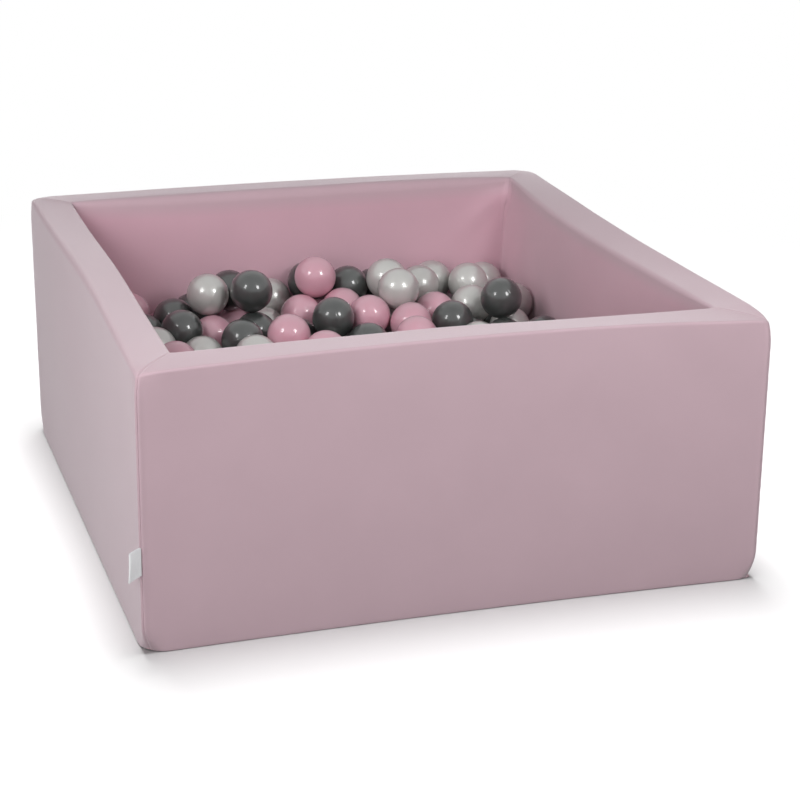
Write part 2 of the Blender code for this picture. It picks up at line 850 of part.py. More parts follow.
def neck_sides(direction):
    """Three unit directions square to a link."""
    helper = Vector((0, 0, 1)) if abs(direction.z) < 0.8 else Vector((1, 0, 0))
    first = direction.cross(helper).normalized()
    second = direction.cross(first)
    turns = [2 * math.pi * step / 3 for step in range(3)]
    return [first * math.cos(turn) + second * math.sin(turn) for turn in turns]


def loose_ball(name, centre, contacts, look):
    """One ball as a many-sided solid with a corner at each place where it touches another."""
    directions = list(contacts) + clear_of(fine_directions(), contacts, seen_clear_deg)
    points = [centre + direction * ball_radius for direction in directions]
    return solid(name, points, hull_triangles([d * ball_radius for d in directions]), look, centre)


def ball_bed(name, centres, links, contacts, seen, look):
    """The lower balls as one closed body, joined by a short neck along each link."""
    lean = math.asin(neck_radius / ball_radius)
    ends = {index: [] for index in range(len(centres))}
    for number, (a, b) in enumerate(links):
        direction = (centres[b] - centres[a]).normalized()
        sides = neck_sides(direction)
        ends[a].append((number, direction, sides))
        ends[b].append((number, -direction, sides))
    points = []
    faces = []
    rings = {}
    for index, centre in enumerate(centres):
        directions = []
        patches = set()
        for number, direction, sides in ends[index]:
            start = len(directions)
            directions += [direction * math.cos(lean) + side * math.sin(lean) for side in sides]
            patches.add((start, start + 1, start + 2))
            rings.setdefault(number, []).append(len(points) + start)
        kept = [direction for _, direction, _ in ends[index]] + contacts[index]
        directions += contacts[index]
        if seen[index]:
            directions += clear_of(medium_directions(), kept, seen_clear_deg)
        else:
            directions += clear_of(axis_directions(), kept, hidden_clear_deg)
        local = [direction * ball_radius for direction in directions]
        for face in hull_triangles(local):
            if tuple(sorted(face)) not in patches:
                faces.append(tuple(len(points) + corner for corner in face))
        points += [centre + spot for spot in local]
    for first, second in rings.values():
        for step in range(3):
            follow = (step + 1) % 3
            faces.append((first + step, first + follow, second + follow))
            faces.append((first + step, second + follow, second + step))
    return solid(name, points, faces, look)


clear_scene()

jersey = material("pink_jersey", (0.55, 0.36, 0.40), 0.9)
lining = material("base_cloth", (0.50, 0.33, 0.37), 0.9)
foam = material("foam", (0.75, 0.72, 0.62), 0.95)
tape_cloth = material("zip_tape", (0.52, 0.34, 0.38), 0.8)
zip_metal = material("zip_metal", (0.60, 0.60, 0.60), 0.35, 1.0)
satin = material("label_satin", (0.80, 0.80, 0.79), 0.5)
shell_looks = {colour: material("ball_" + colour, value, 0.35) for colour, value in ball_colours.items()}
bed_look = material("ball_bed", ball_colours["grey"], 0.35)

for quarter, side in enumerate(("front", "right", "back", "left")):
    foam_wall("foam_wall_" + side, quarter, foam)
    cover_panel("cover_" + side, quarter, jersey)

floor_board("floor_foam", foam)
floor_panel("floor_cover", jersey)
base_panel("base_cover", lining)
zip_tape("zip_tape_front", -1, tape_cloth)
zip_tape("zip_tape_rear", 1, tape_cloth)
zip_stop("zip_stop_left", -1, zip_metal)
zip_stop("zip_stop_right", 1, zip_metal)
zip_slider("zip_slider", zip_metal)
zip_pull("zip_pull", zip_metal)
side_label("side_label", satin)

places = fill_well()
loose = pick_loose(places)
centres = [Vector(place) for place in places]
touches = {index: [] for index in range(len(places))}
for index in loose:
    apart = ((places - places[index]) ** 2).sum(1)
    apart[index] = np.inf
    other = int(np.argmin(apart))
    toward = (centres[other] - centres[index]).normalized()
    if not any(toward.dot(known) > 0.9999 for known in touches[index]):
        touches[index].append(toward)
        touches[other].append(-toward)

colour_order = random.Random(fill_seed)
counts = dict.fromkeys(ball_colours, 0)
for index in loose:
    if index < len(shown_ball_shares):
        colour = shown_ball_shares[index][3]
    else:
        colour = colour_order.choice(list(ball_colours))
    counts[colour] += 1
    name = "ball_" + colour + "_" + str(counts[colour]).zfill(2)
    loose_ball(name, centres[index], touches[index], shell_looks[colour])

lower = [index for index in range(len(places)) if index not in loose]
open_top = not_under(places, open_top_share * ball_size)
in_sight = [bool(open_top[index]) or index < len(shown_ball_shares) for index in lower]
ball_bed(
    "ball_bed",
    [centres[index] for index in lower],
    spanning_links(places[lower]),
    [touches[index] for index in lower],
    in_sight,
    bed_look,
)
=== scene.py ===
# A square foam ball pit dressed for rendering: jersey walls, plastic balls, base zip, floor, lamps, camera.
# Metres, in the frame of the CAD model. +Z is up, +Y is the back of the pit.
import json
import math

import bmesh
import bpy
import numpy as np
from mathutils import Matrix, Vector


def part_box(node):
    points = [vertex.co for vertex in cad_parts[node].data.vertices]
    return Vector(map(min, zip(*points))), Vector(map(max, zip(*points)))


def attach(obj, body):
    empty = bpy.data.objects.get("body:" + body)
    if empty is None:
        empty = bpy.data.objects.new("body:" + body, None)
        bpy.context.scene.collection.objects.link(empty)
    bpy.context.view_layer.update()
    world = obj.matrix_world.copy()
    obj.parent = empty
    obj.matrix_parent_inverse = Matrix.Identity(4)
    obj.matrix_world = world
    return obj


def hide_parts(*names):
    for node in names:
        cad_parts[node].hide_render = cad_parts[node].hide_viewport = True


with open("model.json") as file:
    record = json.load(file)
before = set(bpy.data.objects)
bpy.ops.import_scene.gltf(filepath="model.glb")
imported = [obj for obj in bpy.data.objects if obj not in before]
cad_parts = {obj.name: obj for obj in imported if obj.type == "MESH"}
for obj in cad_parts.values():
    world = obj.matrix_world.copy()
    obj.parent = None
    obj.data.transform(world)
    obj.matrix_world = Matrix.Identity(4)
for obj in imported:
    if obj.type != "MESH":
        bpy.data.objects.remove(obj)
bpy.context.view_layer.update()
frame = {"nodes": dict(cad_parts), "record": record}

# Pit body, as in the CAD model. Rows of corner values run left front, right front, left back, right back.
pit_side = 0.900
pit_height = 0.400
wall_thick = 0.060
half_side = pit_side / 2
half_well = half_side - wall_thick
rim_radius = 0.005
side_bow = 0.0095
front_bow = 0.013
back_bow = 0.003
side_rise = 0.003
front_rise = 0.006
back_rise = 0.005
rim_drop = 0.005
rim_corner_pull = 0.004
corner_reach = 0.040
rim_lifts = (-0.001, 0.002, 0.007, 0.004)
ball_radius = 0.035
fit_gap = 0.0003
floor_top = 0.0330
floor_half = 0.3912
zip_line_y = 0.300

# Seen balls that lie in the bed, by colour: places across the well from the left wall, from the front
# wall, and height as a share of the pit height.
bed_ball_shares = {
    "pearl": (
        (0.260, 0.860, 0.665), (0.425, 0.955, 0.585), (0.660, 0.860, 0.670), (0.655, 0.770, 0.680),
        (0.740, 0.885, 0.625), (0.795, 0.955, 0.600), (0.860, 0.890, 0.620), (0.920, 0.955, 0.575),
        (0.835, 0.805, 0.565), (0.955, 0.845, 0.535), (0.785, 0.615, 0.525), (0.390, 0.880, 0.490),
        (0.300, 0.610, 0.550), (0.120, 0.725, 0.545), (0.210, 0.700, 0.505),
    ),
    "grey": (
        (0.340, 0.800, 0.700), (0.330, 0.955, 0.620), (0.510, 0.955, 0.635), (0.585, 0.905, 0.630),
        (0.655, 0.955, 0.585), (0.870, 0.710, 0.645), (0.955, 0.660, 0.495), (0.860, 0.660, 0.500),
        (0.755, 0.695, 0.570), (0.840, 0.955, 0.445), (0.490, 0.720, 0.605), (0.555, 0.660, 0.530),
        (0.420, 0.755, 0.525), (0.295, 0.700, 0.565), (0.190, 0.780, 0.565), (0.190, 0.885, 0.555),
        (0.245, 0.955, 0.530), (0.115, 0.835, 0.530),
    ),
    "pink": (
        (0.500, 0.870, 0.700), (0.750, 0.790, 0.555), (0.660, 0.700, 0.580), (0.645, 0.610, 0.570),
        (0.585, 0.745, 0.595), (0.550, 0.825, 0.585), (0.460, 0.835, 0.565), (0.380, 0.650, 0.595),
        (0.440, 0.585, 0.560), (0.265, 0.810, 0.525), (0.340, 0.955, 0.450), (0.105, 0.930, 0.570),
        (0.165, 0.955, 0.465), (0.140, 0.635, 0.535),
    ),
}
well_corner = np.array((-half_well, -half_well, 0))
well_size = np.array((2 * half_well, 2 * half_well, pit_height))

rng = np.random.default_rng(5)


# Camera: the photograph's viewpoint.
camera_place = Vector((-0.9007, -2.7828, 1.2262))
camera_yaw = -0.3313
camera_pitch = 0.3488
camera_roll = 0.0209
focal_px = 1973.73
photo_px = 800
sensor_mm = 36


def camera_axes():
    """Right, up and forward of the camera in the frame."""
    flat = math.cos(camera_pitch)
    ahead = Vector((-math.sin(camera_yaw) * flat, math.cos(camera_yaw) * flat, -math.sin(camera_pitch)))
    level = Vector((math.cos(camera_yaw), math.sin(camera_yaw), 0))
    above = level.cross(ahead)
    right = level * math.cos(camera_roll) + above * math.sin(camera_roll)
    up = above * math.cos(camera_roll) - level * math.sin(camera_roll)
    return right, up, ahead


def place_camera():
    """The camera at the photograph's viewpoint."""
    data = bpy.data.cameras.new("camera")
    data.sensor_width = sensor_mm
    data.lens = focal_px / photo_px * sensor_mm
    made = bpy.data.objects.new("camera", data)
    right, up, ahead = camera_axes()
    turn = Matrix((right, up, -ahead)).transposed()
    made.matrix_world = Matrix.Translation(camera_place) @ turn.to_4x4()
    bpy.context.scene.collection.objects.link(made)
    bpy.context.scene.camera = made


place_camera()


# Materials: the size of a knit loop, and how deep the fine reliefs are.
wale_width = 0.0014
course_height = 0.0011
knit_relief = 0.0003
skin_relief = 0.0003
weave_relief = 0.0002


def feed(owner, node, inputs):
    """Inputs of a node by name or number: numbers and colours are set, sockets are linked."""
    for key, value in inputs.items():
        if isinstance(value, bpy.types.NodeSocket):
            owner.node_tree.links.new(value, node.inputs[key])
        else:
            node.inputs[key].default_value = value


def add(owner, kind, inputs=None, **settings):
    """One node in the tree of a material or a world."""
    made = owner.node_tree.nodes.new(kind)
    for key, value in settings.items():
        setattr(made, key, value)
    feed(owner, made, inputs or {})
    return made


def new_material(name):
    """A node material, its Principled shader, and the place on an object for its textures."""
    made = bpy.data.materials.new(name)
    made.use_nodes = True
    place = add(made, "ShaderNodeTexCoord").outputs["Object"]
    return made, made.node_tree.nodes["Principled BSDF"], place


def sums(owner, operation, first, second=0.0, third=0.0):
    """The output of one Math node."""
    return add(owner, "ShaderNodeMath", {0: first, 1: second, 2: third}, operation=operation).outputs[0]


def weighed(owner, first, weight, second, other_weight):
    """The sum of two values by their weights."""
    return sums(owner, "MULTIPLY_ADD", first, weight, sums(owner, "MULTIPLY", second, other_weight))


def noise(owner, place, scale, detail):
    """The output of one Noise Texture node."""
    return add(owner, "ShaderNodeTexNoise", {"Vector": place, "Scale": scale, "Detail": detail}).outputs[0]


def bump(owner, height, strength, distance):
    """The output of one Bump node."""
    inputs = {"Height": height, "Strength": strength, "Distance": distance}
    return add(owner, "ShaderNodeBump", inputs).outputs[0]


def blend_colours(owner, share, low, high):
    """A colour between two colours or sockets, by a share."""
    low, high = (end if isinstance(end, bpy.types.NodeSocket) else (*end, 1) for end in (low, high))
    return add(owner, "ShaderNodeMix", {0: share, 6: low, 7: high}, data_type="RGBA").outputs[2]


def shades(owner, share, colour, low, high):
    """A colour that runs from a darker to a lighter shade of itself, by a share."""
    darker, lighter = (tuple(min(1.0, part * factor) for part in colour) for factor in (low, high))
    return blend_colours(owner, share, darker, lighter)


def jersey(name, colour, painted_bounce_colour):
    """A fine knit of small V loops with a slow drift of tone and a soft sheen; painted shade darkens the
    loops' valleys, and painted bounce light makes the well's lining pinker and brighter.
    """
    made, shader, place = new_material(name)
    spot = add(made, "ShaderNodeUVMap", uv_map="cloth").outputs[0]
    parts = add(made, "ShaderNodeSeparateXYZ", {0: spot}).outputs
    wale = sums(made, "FRACT", sums(made, "MULTIPLY", parts[0], 1 / wale_width))
    side = sums(made, "MULTIPLY", sums(made, "ABSOLUTE", sums(made, "SUBTRACT", wale, 0.5)), 2)
    course = weighed(made, parts[1], 1 / course_height, side, 0.8)
    loop = sums(made, "SINE", sums(made, "MULTIPLY", course, 2 * math.pi))
    round_side = sums(made, "SUBTRACT", 1, sums(made, "MULTIPLY", side, side))
    height = weighed(made, loop, 0.35, round_side, 0.65)
    drift = noise(made, place, scale=9.0, detail=3.0)
    fibre = noise(made, place, scale=900.0, detail=2.0)
    # The colour is darker in the loops' low valleys: painted shade, mixed with a random drift of tone.
    tone = weighed(made, height, 0.30, drift, 0.70)
    tone = weighed(made, fibre, 0.15, tone, 0.9)
    # The lining's colour is pinker and brighter than the outside's: painted bounce light from the pink walls.
    outside, inside = (shades(made, tone, tint, low=0.93, high=1.07) for tint in (colour, painted_bounce_colour))
    inward = add(made, "ShaderNodeAttribute", attribute_name="tone").outputs["Fac"]
    feed(made, shader, {
        "Base Color": blend_colours(made, inward, outside, inside),
        "Normal": bump(made, height, strength=0.30, distance=knit_relief),
        "Roughness": sums(made, "MULTIPLY_ADD", fibre, 0.12, 0.80),
        "Specular IOR Level": 0.2,
        "Sheen Weight": 0.7,
        "Sheen Roughness": 0.50,
        "Sheen Tint": (1, 0.97, 0.99, 1),
    })
    return made


def ball_plastic(name, colour, roughness, coat=1.0, metallic=0.0, spread=0.05, depth=0.0):
    """Moulded plastic: a tone that differs from ball to ball, faint flow marks and a fine skin."""
    made, shader, place = new_material(name)
    tone = add(made, "ShaderNodeAttribute", attribute_name="tone").outputs["Fac"]
    flow = noise(made, place, scale=22.0, detail=2.0)
    skin = noise(made, place, scale=260.0, detail=3.0)
    share = weighed(made, flow, 0.35, tone, 0.65)
    feed(made, shader, {
        "Base Color": shades(made, share, colour, 1 - spread, 1 + spread),
        "Normal": bump(made, skin, strength=0.025, distance=skin_relief),
        "Roughness": sums(made, "MULTIPLY_ADD", skin, 0.08, roughness - 0.04),
        "Metallic": metallic,
        "Coat Weight": coat,
        "Coat Roughness": 0.03,
        "Subsurface Weight": 0.6 if depth else 0,
        "Subsurface Radius": (1, 1, 1),
        "Subsurface Scale": depth,
    })
    return made


def metal(name, colour):
    """Worn nickel: fine scratches along the part and duller patches."""
    made, shader, place = new_material(name)
    line = add(made, "ShaderNodeMapping", {"Vector": place, "Scale": (200.0, 2500.0, 2500.0)}).outputs[0]
    feed(made, shader, {
        "Base Color": shades(made, noise(made, place, scale=400.0, detail=2.0), colour, low=0.85, high=1.1),
        "Roughness": sums(made, "MULTIPLY_ADD", noise(made, line, scale=1.0, detail=3.0), 0.25, 0.2),
        "Metallic": 1.0,
    })
    return made


def woven(name, colour, pitch, roughness, sheen):
    """A plain weave: over and under in two directions."""
    made, shader, place = new_material(name)
    parts = add(made, "ShaderNodeSeparateXYZ", {0: place}).outputs
    both = sums(made, "ADD", parts[0], parts[2])
    warp = sums(made, "SINE", sums(made, "MULTIPLY", both, 2 * math.pi / pitch))
    weft = sums(made, "SINE", sums(made, "MULTIPLY", parts[1], 2 * math.pi / pitch))
    height = sums(made, "MULTIPLY_ADD", sums(made, "MULTIPLY", warp, weft), 0.5, 0.5)
    drift = noise(made, place, scale=30.0, detail=3.0)
    # The colour is darker where the threads dip under: painted shade, mixed with a random drift of tone.
    tone = weighed(made, height, 0.5, drift, 0.5)
    feed(made, shader, {
        "Base Color": shades(made, tone, colour, low=0.90, high=1.08),
        "Normal": bump(made, height, strength=0.3, distance=weave_relief),
        "Roughness": sums(made, "MULTIPLY_ADD", drift, 0.1, roughness - 0.05),
        "Sheen Weight": sheen,
        "Sheen Roughness": 0.4,
    })
    return made


# The second colour is painted bounce light: the lining inside the well is drawn pinker and brighter.
jersey_look = jersey("pink_jersey", (0.625, 0.445, 0.500), painted_bounce_colour=(0.700, 0.443, 0.520))
base_look = woven("base_cloth", (0.50, 0.36, 0.39), pitch=0.0009, roughness=0.85, sheen=0.2)
tape_look = woven("zip_tape", (0.58, 0.40, 0.44), pitch=0.0007, roughness=0.75, sheen=0.1)
coil_look = ball_plastic("zip_coil", (0.60, 0.42, 0.46), roughness=0.40, coat=0.1)
label_look = woven("label_satin", (0.93, 0.94, 0.97), pitch=0.0004, roughness=0.45, sheen=0.3)
metal_look = metal("zip_metal", (0.62, 0.62, 0.60))
pearl_tint = (0.56, 0.56, 0.54)
ball_looks = {
    "pink": ball_plastic("ball_pink", (0.69, 0.385, 0.465), roughness=0.42, depth=0.014),
    "grey": ball_plastic("ball_grey", (0.052, 0.058, 0.056), roughness=0.45, spread=0.12, depth=0.012),
    "pearl": ball_plastic("ball_pearl", pearl_tint, roughness=0.32, coat=0.8, metallic=0.20, depth=0.018),
}


# Meshes.
def piece(name, points, faces, look, uv=None, sharp_deg=60, tones=None):
    """One closed piece from points and faces, smooth apart from its sharp edges."""
    mesh = bpy.data.meshes.new(name)
    mesh.from_pydata([tuple(point) for point in points], [], [tuple(face) for face in faces])
    if tones is not None:
        mesh.attributes.new("tone", "FLOAT", "POINT").data.foreach_set("value", tones)
    if uv is not None:
        layer = mesh.uv_layers.new(name="cloth")
        corner = np.empty(len(mesh.loops), dtype=np.int32)
        mesh.loops.foreach_get("vertex_index", corner)
        layer.data.foreach_set("uv", np.asarray(uv, dtype=np.float32)[corner].ravel())
    shell = bmesh.new()
    shell.from_mesh(mesh)
    bmesh.ops.recalc_face_normals(shell, faces=shell.faces)
    large = [face for face in shell.faces if len(face.verts) > 4]
    bmesh.ops.triangulate(shell, faces=large)
    shell.to_mesh(mesh)
    shell.free()
    mesh.shade_smooth()
    mesh.set_sharp_from_angle(angle=math.radians(sharp_deg))
    made = bpy.data.objects.new(name, mesh)
    mesh.materials.append(look)
    bpy.context.scene.collection.objects.link(made)
    return made


def ring_faces(rows, around, shift=0):
    """Side faces between rings of points that follow each other."""
    faces = []
    for row in range(rows - 1):
        first = shift + row * around
        for index in range(around):
            follow = (index + 1) % around
            faces.append((first + index, first + follow, first + around + follow, first + around + index))
    return faces


def bump_at(value, middle, width):
    """A smooth hump round a middle value."""
    return np.exp(-(((value - middle) / width) ** 2))


def waves(x, y, count, short, long, size):
    """A slow seeded swell: a sum of waves in random directions."""
    total = np.zeros(np.broadcast(x, y).shape)
    for _ in range(count):
        turn = rng.uniform(0, 2 * math.pi)
        length = rng.uniform(short, long)
        phase = rng.uniform(0, 2 * math.pi)
        total += np.sin((x * math.cos(turn) + y * math.sin(turn)) * 2 * math.pi / length + phase)
    return total * size / count


# Soft shape of the walls. How far the outer faces lean at each corner, at the foot and at the rim, as (x, y).
foot_lean = ((-0.0020, 0.0030), (0.0045, -0.0100), (0.0009, -0.0100), (0.0010, -0.0040))
rim_shift = ((-0.0045, -0.0038), (-0.0010, -0.0070), (0.0, -0.0010), (-0.0010, -0.0010))

# How far the corners of the inner rim edge lie from the CAD model's, as (x, y, z).
inner_shift = ((-0.0066, 0.0, 0.0055), (0.0030, 0.0, 0.0), (0.0, 0.0, 0.0050), (0.0, 0.0, 0.0045))

# Slow bends of a wall's rim, as sizes of half waves that vanish at its ends: of the outer edge inward and
# of the inner edge upward. Both fade out below the rim.
rim_bends = {
    "front": {"inner_up": (0.0041, 0.0006, -0.0005)},
    "right": {"outer_in": (0.0045, 0.0004, -0.0009), "inner_up": (-0.0072, 0.0030, -0.0003)},
    "back": {"inner_up": (0.0075, 0.0012, 0.0008)},
    "left": {"outer_in": (-0.0040, -0.0016, -0.0016), "inner_up": (-0.0022, 0.0002, -0.0012)},
}
rim_bend_depth = 0.05
outer_bend_power = 1.5

# How far each lower outer corner is drawn in, and by what share of that up. The front wall's foot bows in,
# and its rim drops at its right end.
foot_pulls = (0.010, 0.004, 0.004, 0.004)
foot_lift_share = 0.3
front_foot_bow = 0.009
front_corner_drop = 0.0048
corner_drop_reach = 0.15


def fade(distance):
    """Share of the corner pull left at a distance from a face."""
    return np.maximum(0.0, 1 - distance / corner_reach) ** 2


def below_rim(z):
    """Share of a rim edge's shift left at a height."""
    return np.exp(-np.maximum(pit_height - z, 0) / rim_bend_depth)


def from_corners(values, x, y):
    """A value at a place, from its values at the four corners."""
    left_front, right_front, left_back, right_back = values
    right = np.clip((x / half_side + 1) / 2, 0, 1)
    back = np.clip((y / half_side + 1) / 2, 0, 1)
    front_value = left_front * (1 - right) + right_front * right
    back_value = left_back * (1 - right) + right_back * right
    return front_value * (1 - back) + back_value * back


def shaped(x, y, z):
    """Where points of the straight pit lie once soft: as in the CAD model, with the lean of the faces."""
    open_x = 1 - (x / half_side) ** 2
    open_y = 1 - (y / half_side) ** 2
    high = (np.maximum(z, 0) / pit_height) ** 2
    bow_y = np.where(y < 0, front_bow, back_bow)
    rise_y = np.where(y < 0, front_rise, back_rise)
    in_x = np.clip((half_side - abs(x)) / wall_thick, 0, 1)
    in_y = np.clip((half_side - abs(y)) / wall_thick, 0, 1)
    lift_y = open_x * (rise_y * (1 - in_y) - rim_drop * in_y)
    lift_x = open_y * (side_rise * (1 - in_x) - rim_drop * in_x)
    lift = lift_x + lift_y + from_corners(rim_lifts, x, y)
    corner = fade(half_side - abs(x)) * fade(half_side - abs(y))
    upper = rim_corner_pull * corner * fade(pit_height - z)
    lower = from_corners(foot_pulls, x, y) * corner * fade(z)
    new_x = x - x / half_side * side_bow * open_y * high - np.copysign(upper + lower, x)
    new_y = y - y / half_side * bow_y * open_x * high - np.copysign(upper + lower, y)
    new_z = z + high**2 * lift - upper + foot_lift_share * lower
    outer = 1 - np.minimum(in_x, in_y)
    up = np.clip(z / pit_height, 0, 1)
    for foot, rim, moved in zip(zip(*foot_lean), zip(*rim_shift), (new_x, new_y)):
        moved += (from_corners(foot, x, y) * (1 - up) + from_corners(rim, x, y) * up) * outer
    inner = np.minimum(in_x, in_y) * below_rim(z)
    for shift, moved in zip(zip(*inner_shift), (new_x, new_y, new_z)):
        moved += from_corners(shift, x, y) * inner
    on_front = (1 - in_y) * (y < 0)
    new_z -= front_corner_drop * bump_at(x, half_side, corner_drop_reach) * on_front * high * below_rim(z)
    new_y += front_foot_bow * open_x * (1 - high) * on_front
    return new_x, new_y, new_z


def half_waves(sizes, share):
    """A sum of half waves along a wall, zero at its two ends."""
    turn = (share + 1) * math.pi / 2
    return sum(size * np.sin((order + 1) * turn) for order, size in enumerate(sizes))


def bend_wall(side, share, depth, z):
    """How far points of a wall move inward and up, from the slow bends of its rim edges."""
    bends = rim_bends[side]
    inner = np.clip(depth / wall_thick, 0, 1)
    outer_share = (1 - inner) * np.clip(z / pit_height, 0, 1) ** outer_bend_power
    inward = half_waves(bends.get("outer_in", (0,)), share) * outer_share
    upward = half_waves(bends.get("inner_up", (0,)), share) * (inner * below_rim(z))
    return inward, upward


# Round corners. The seams lie a little on the front and rear faces. The slack inner corner is rounder
# under its rim, and the outer corners are rounder at the foot.
corner_rounds = (0.0032, 0.0035, 0.013, 0.010)
foot_corner_round = 0.020
foot_corner_height = 0.05
seam_shift = 0.0014
seam_shift_width = 0.012
seam_shift_reach = 0.03
inner_round = 0.005
inner_round_from = 0.045
inner_round_blend = 0.012
slack_round = 0.014
slack_round_height = 0.365
slack_round_width = 0.035
least_room = 1e-9


def inner_radius(x, y, z):
    """How round an inner corner of the lining is."""
    slack = (x > 0) & (y > 0)
    return inner_round + np.where(slack, slack_round * bump_at(z, slack_round_height, slack_round_width), 0)


def rounded(x, y, z):
    """Quarter rounds at the outer and inner corners."""
    near_x = half_side - abs(x)
    near_y = half_side - abs(y)
    low = np.minimum(near_x, near_y)
    across = near_x - near_y
    on_seam = bump_at(across, 0, seam_shift_width) * np.clip(1 - low / seam_shift_reach, 0, 1)
    across = across + seam_shift * on_seam
    near_x = low + np.maximum(across, 0)
    near_y = low + np.maximum(-across, 0)
    high = np.maximum(near_x, near_y)
    at_foot = np.clip(1 - z / foot_corner_height, 0, 1) ** 2
    corner_round = from_corners(corner_rounds, x, y) + foot_corner_round * at_foot
    room = np.maximum(corner_round - low, least_room)
    turn = np.clip((corner_round - high) / room, 0, 1) * math.pi / 4
    inside = high < corner_round
    new_low = np.where(inside, corner_round - room * np.cos(turn), low)
    new_high = np.where(inside, corner_round - room * np.sin(turn), high)
    first = near_x <= near_y
    size = inner_radius(x, y, z) * np.clip((low - inner_round_from) / inner_round_blend, 0, 1) + least_room
    bend = np.clip(1 - (high - low) / size, 0, 1) * math.pi / 4
    inner = (bend > 0) & (low > inner_round_from)
    new_low = np.where(inner, low + size * (1 - np.cos(bend)), new_low)
    new_high = np.where(inner, low + size * (1 - np.sin(bend)), new_high)
    new_x = half_side - np.where(first, new_low, new_high)
    new_y = half_side - np.where(first, new_high, new_low)
    return np.copysign(new_x, x), np.copysign(new_y, y)


# Wall section. Wear is how much rounder a rim edge is in the middle of a wall than at its ends.
outer_rim_radius = 0.0035
outer_wear = {"front": 0.0005, "right": 0.0, "back": 0.001, "left": 0.0040}
inner_wear = {"front": 0.0, "right": 0.003, "back": 0.010, "left": 0.0}
foot_round = 0.0018
hem_top = 0.0018
hem_low = 0.0004
hem_width = 0.0008


def arc_points(depth, z, radius, start_deg, end_deg, steps):
    """Points on an arc of a wall section, both ends included."""
    turns = np.radians(np.linspace(start_deg, end_deg, steps + 1))
    return [(depth + radius * math.cos(turn), z + radius * math.sin(turn)) for turn in turns]


def wall_section(outer_radius, inner_radius):
    """A closed wall section as (depth, height) points, up the outside and on, and how many are seen."""
    outer_spring = pit_height - outer_radius
    inner_spring = pit_height - inner_radius
    inner_foot = floor_top + fit_gap
    path = arc_points(foot_round, foot_round, foot_round, 270, 180, 4)
    path += [(0, z) for z in np.linspace(foot_round, outer_spring, 78)[1:-1]]
    path += arc_points(outer_radius, outer_spring, outer_radius, 180, 90, 10)
    path += [(depth, pit_height) for depth in np.linspace(outer_radius, wall_thick - inner_radius, 11)[1:-1]]
    path += arc_points(wall_thick - inner_radius, inner_spring, inner_radius, 90, 0, 10)
    path += [(wall_thick, z) for z in np.linspace(inner_spring, inner_foot, 72)[1:]]
    seen = len(path)
    deep = half_side - floor_half - fit_gap
    hem = foot_round + hem_width
    path += [(deep, inner_foot), (deep, hem_top), (hem, hem_top), (hem, hem_low)]
    return np.array(path), seen


def rim_radii(side, share):
    """Radii of the outer and inner rim edges along a wall."""
    middle = 1 - share**6
    return outer_rim_radius + outer_wear[side] * middle, rim_radius + inner_wear[side] * middle


# Stations along a wall, as distances from a corner seam: close together there and wider apart further on.
row_length = 0.42
seam_stations = (0, 0.0006, 0.0013, 0.0021, 0.0031, 0.0043, 0.0058, 0.0076, 0.0098, 0.0125, 0.0160, 0.0200)
next_stations = np.linspace(0.0245, 0.1300, 22)
far_stations = np.linspace(0.143, row_length, 21)


def wall_rows():
    """Stations along a wall from -1 to 1."""
    near = np.concatenate([seam_stations, next_stations, far_stations])
    share = 1 - near / row_length
    return np.concatenate([-share, share[::-1][1:]])


# Relief of the cloth. Rows of depths, widths and heights hold the rim, the lining and the outside.
# Waves are given by their count, shortest and longest length, and size.
calm_reach = 0.05
rim_blend = 0.006
rim_calm_share = 0.6
swell_waves = (7, 0.12, 0.36, 0.0011)
groove_depths = (0.0004, 0.0001, 0.0009)
front_left_depths = (0.0009, 0.0001, 0.0009)
groove_widths = (0.0020, 0.0013, 0.0013)
roll_heights = (0.0002, 0.0003, 0.0006)
roll_middle = 0.0040
roll_width = 0.0030
pucker_heights = (0.0004, 0.0020, 0.0012)
pucker_middle = 0.003
pucker_least_reach = 0.004
pucker_more_reach = 0.010
pucker_waves = (6, 0.009, 0.024, 1.0)
group_waves = (3, 0.05, 0.12, 1.0)
reach_waves = (3, 0.03, 0.09, 1.0)


def wall_relief(side, share, path, run):
    """How far the cloth stands proud of the plain wall: swell, corner seams and their puckers."""
    rim_start = pit_height - rim_radius
    rim_end = rim_start + wall_thick
    on_rim = np.clip((run - rim_start) / rim_blend, 0, 1) * np.clip((rim_end - run) / rim_blend, 0, 1)
    inner = run > rim_start + wall_thick / 2

    def by_face(values):
        on_top, lining, outside = values
        return np.where(on_rim > 0.5, on_top, np.where(inner, lining, outside))[None]

    along = share * row_length
    open_share = np.clip((1 - abs(share)) * row_length / calm_reach, 0, 1) ** 2
    foot = np.clip(path[:, 1] / calm_reach, 0, 1)
    swell = waves(along[:, None], run[None], *swell_waves)
    relief = swell * open_share[:, None] * (foot * (1 - rim_calm_share * on_rim))[None]
    for end in (-1, 1):
        from_end = ((1 - end * share) * row_length)[:, None]
        front_left = (side, end) in (("front", -1), ("left", 1))
        depths = front_left_depths if front_left else groove_depths
        relief -= by_face(depths) * bump_at(from_end, 0, by_face(groove_widths))
        relief += by_face(roll_heights) * bump_at(from_end, roll_middle, roll_width)
        puckers = waves(run, 0 * run, *pucker_waves) * waves(run, 0 * run, *group_waves)
        reach = pucker_least_reach + pucker_more_reach * abs(waves(run, 0 * run, *reach_waves))
        hold = bump_at(from_end, pucker_middle, reach[None]) * (from_end > 0)
        relief += puckers * by_face(pucker_heights) * foot * hold
    return relief


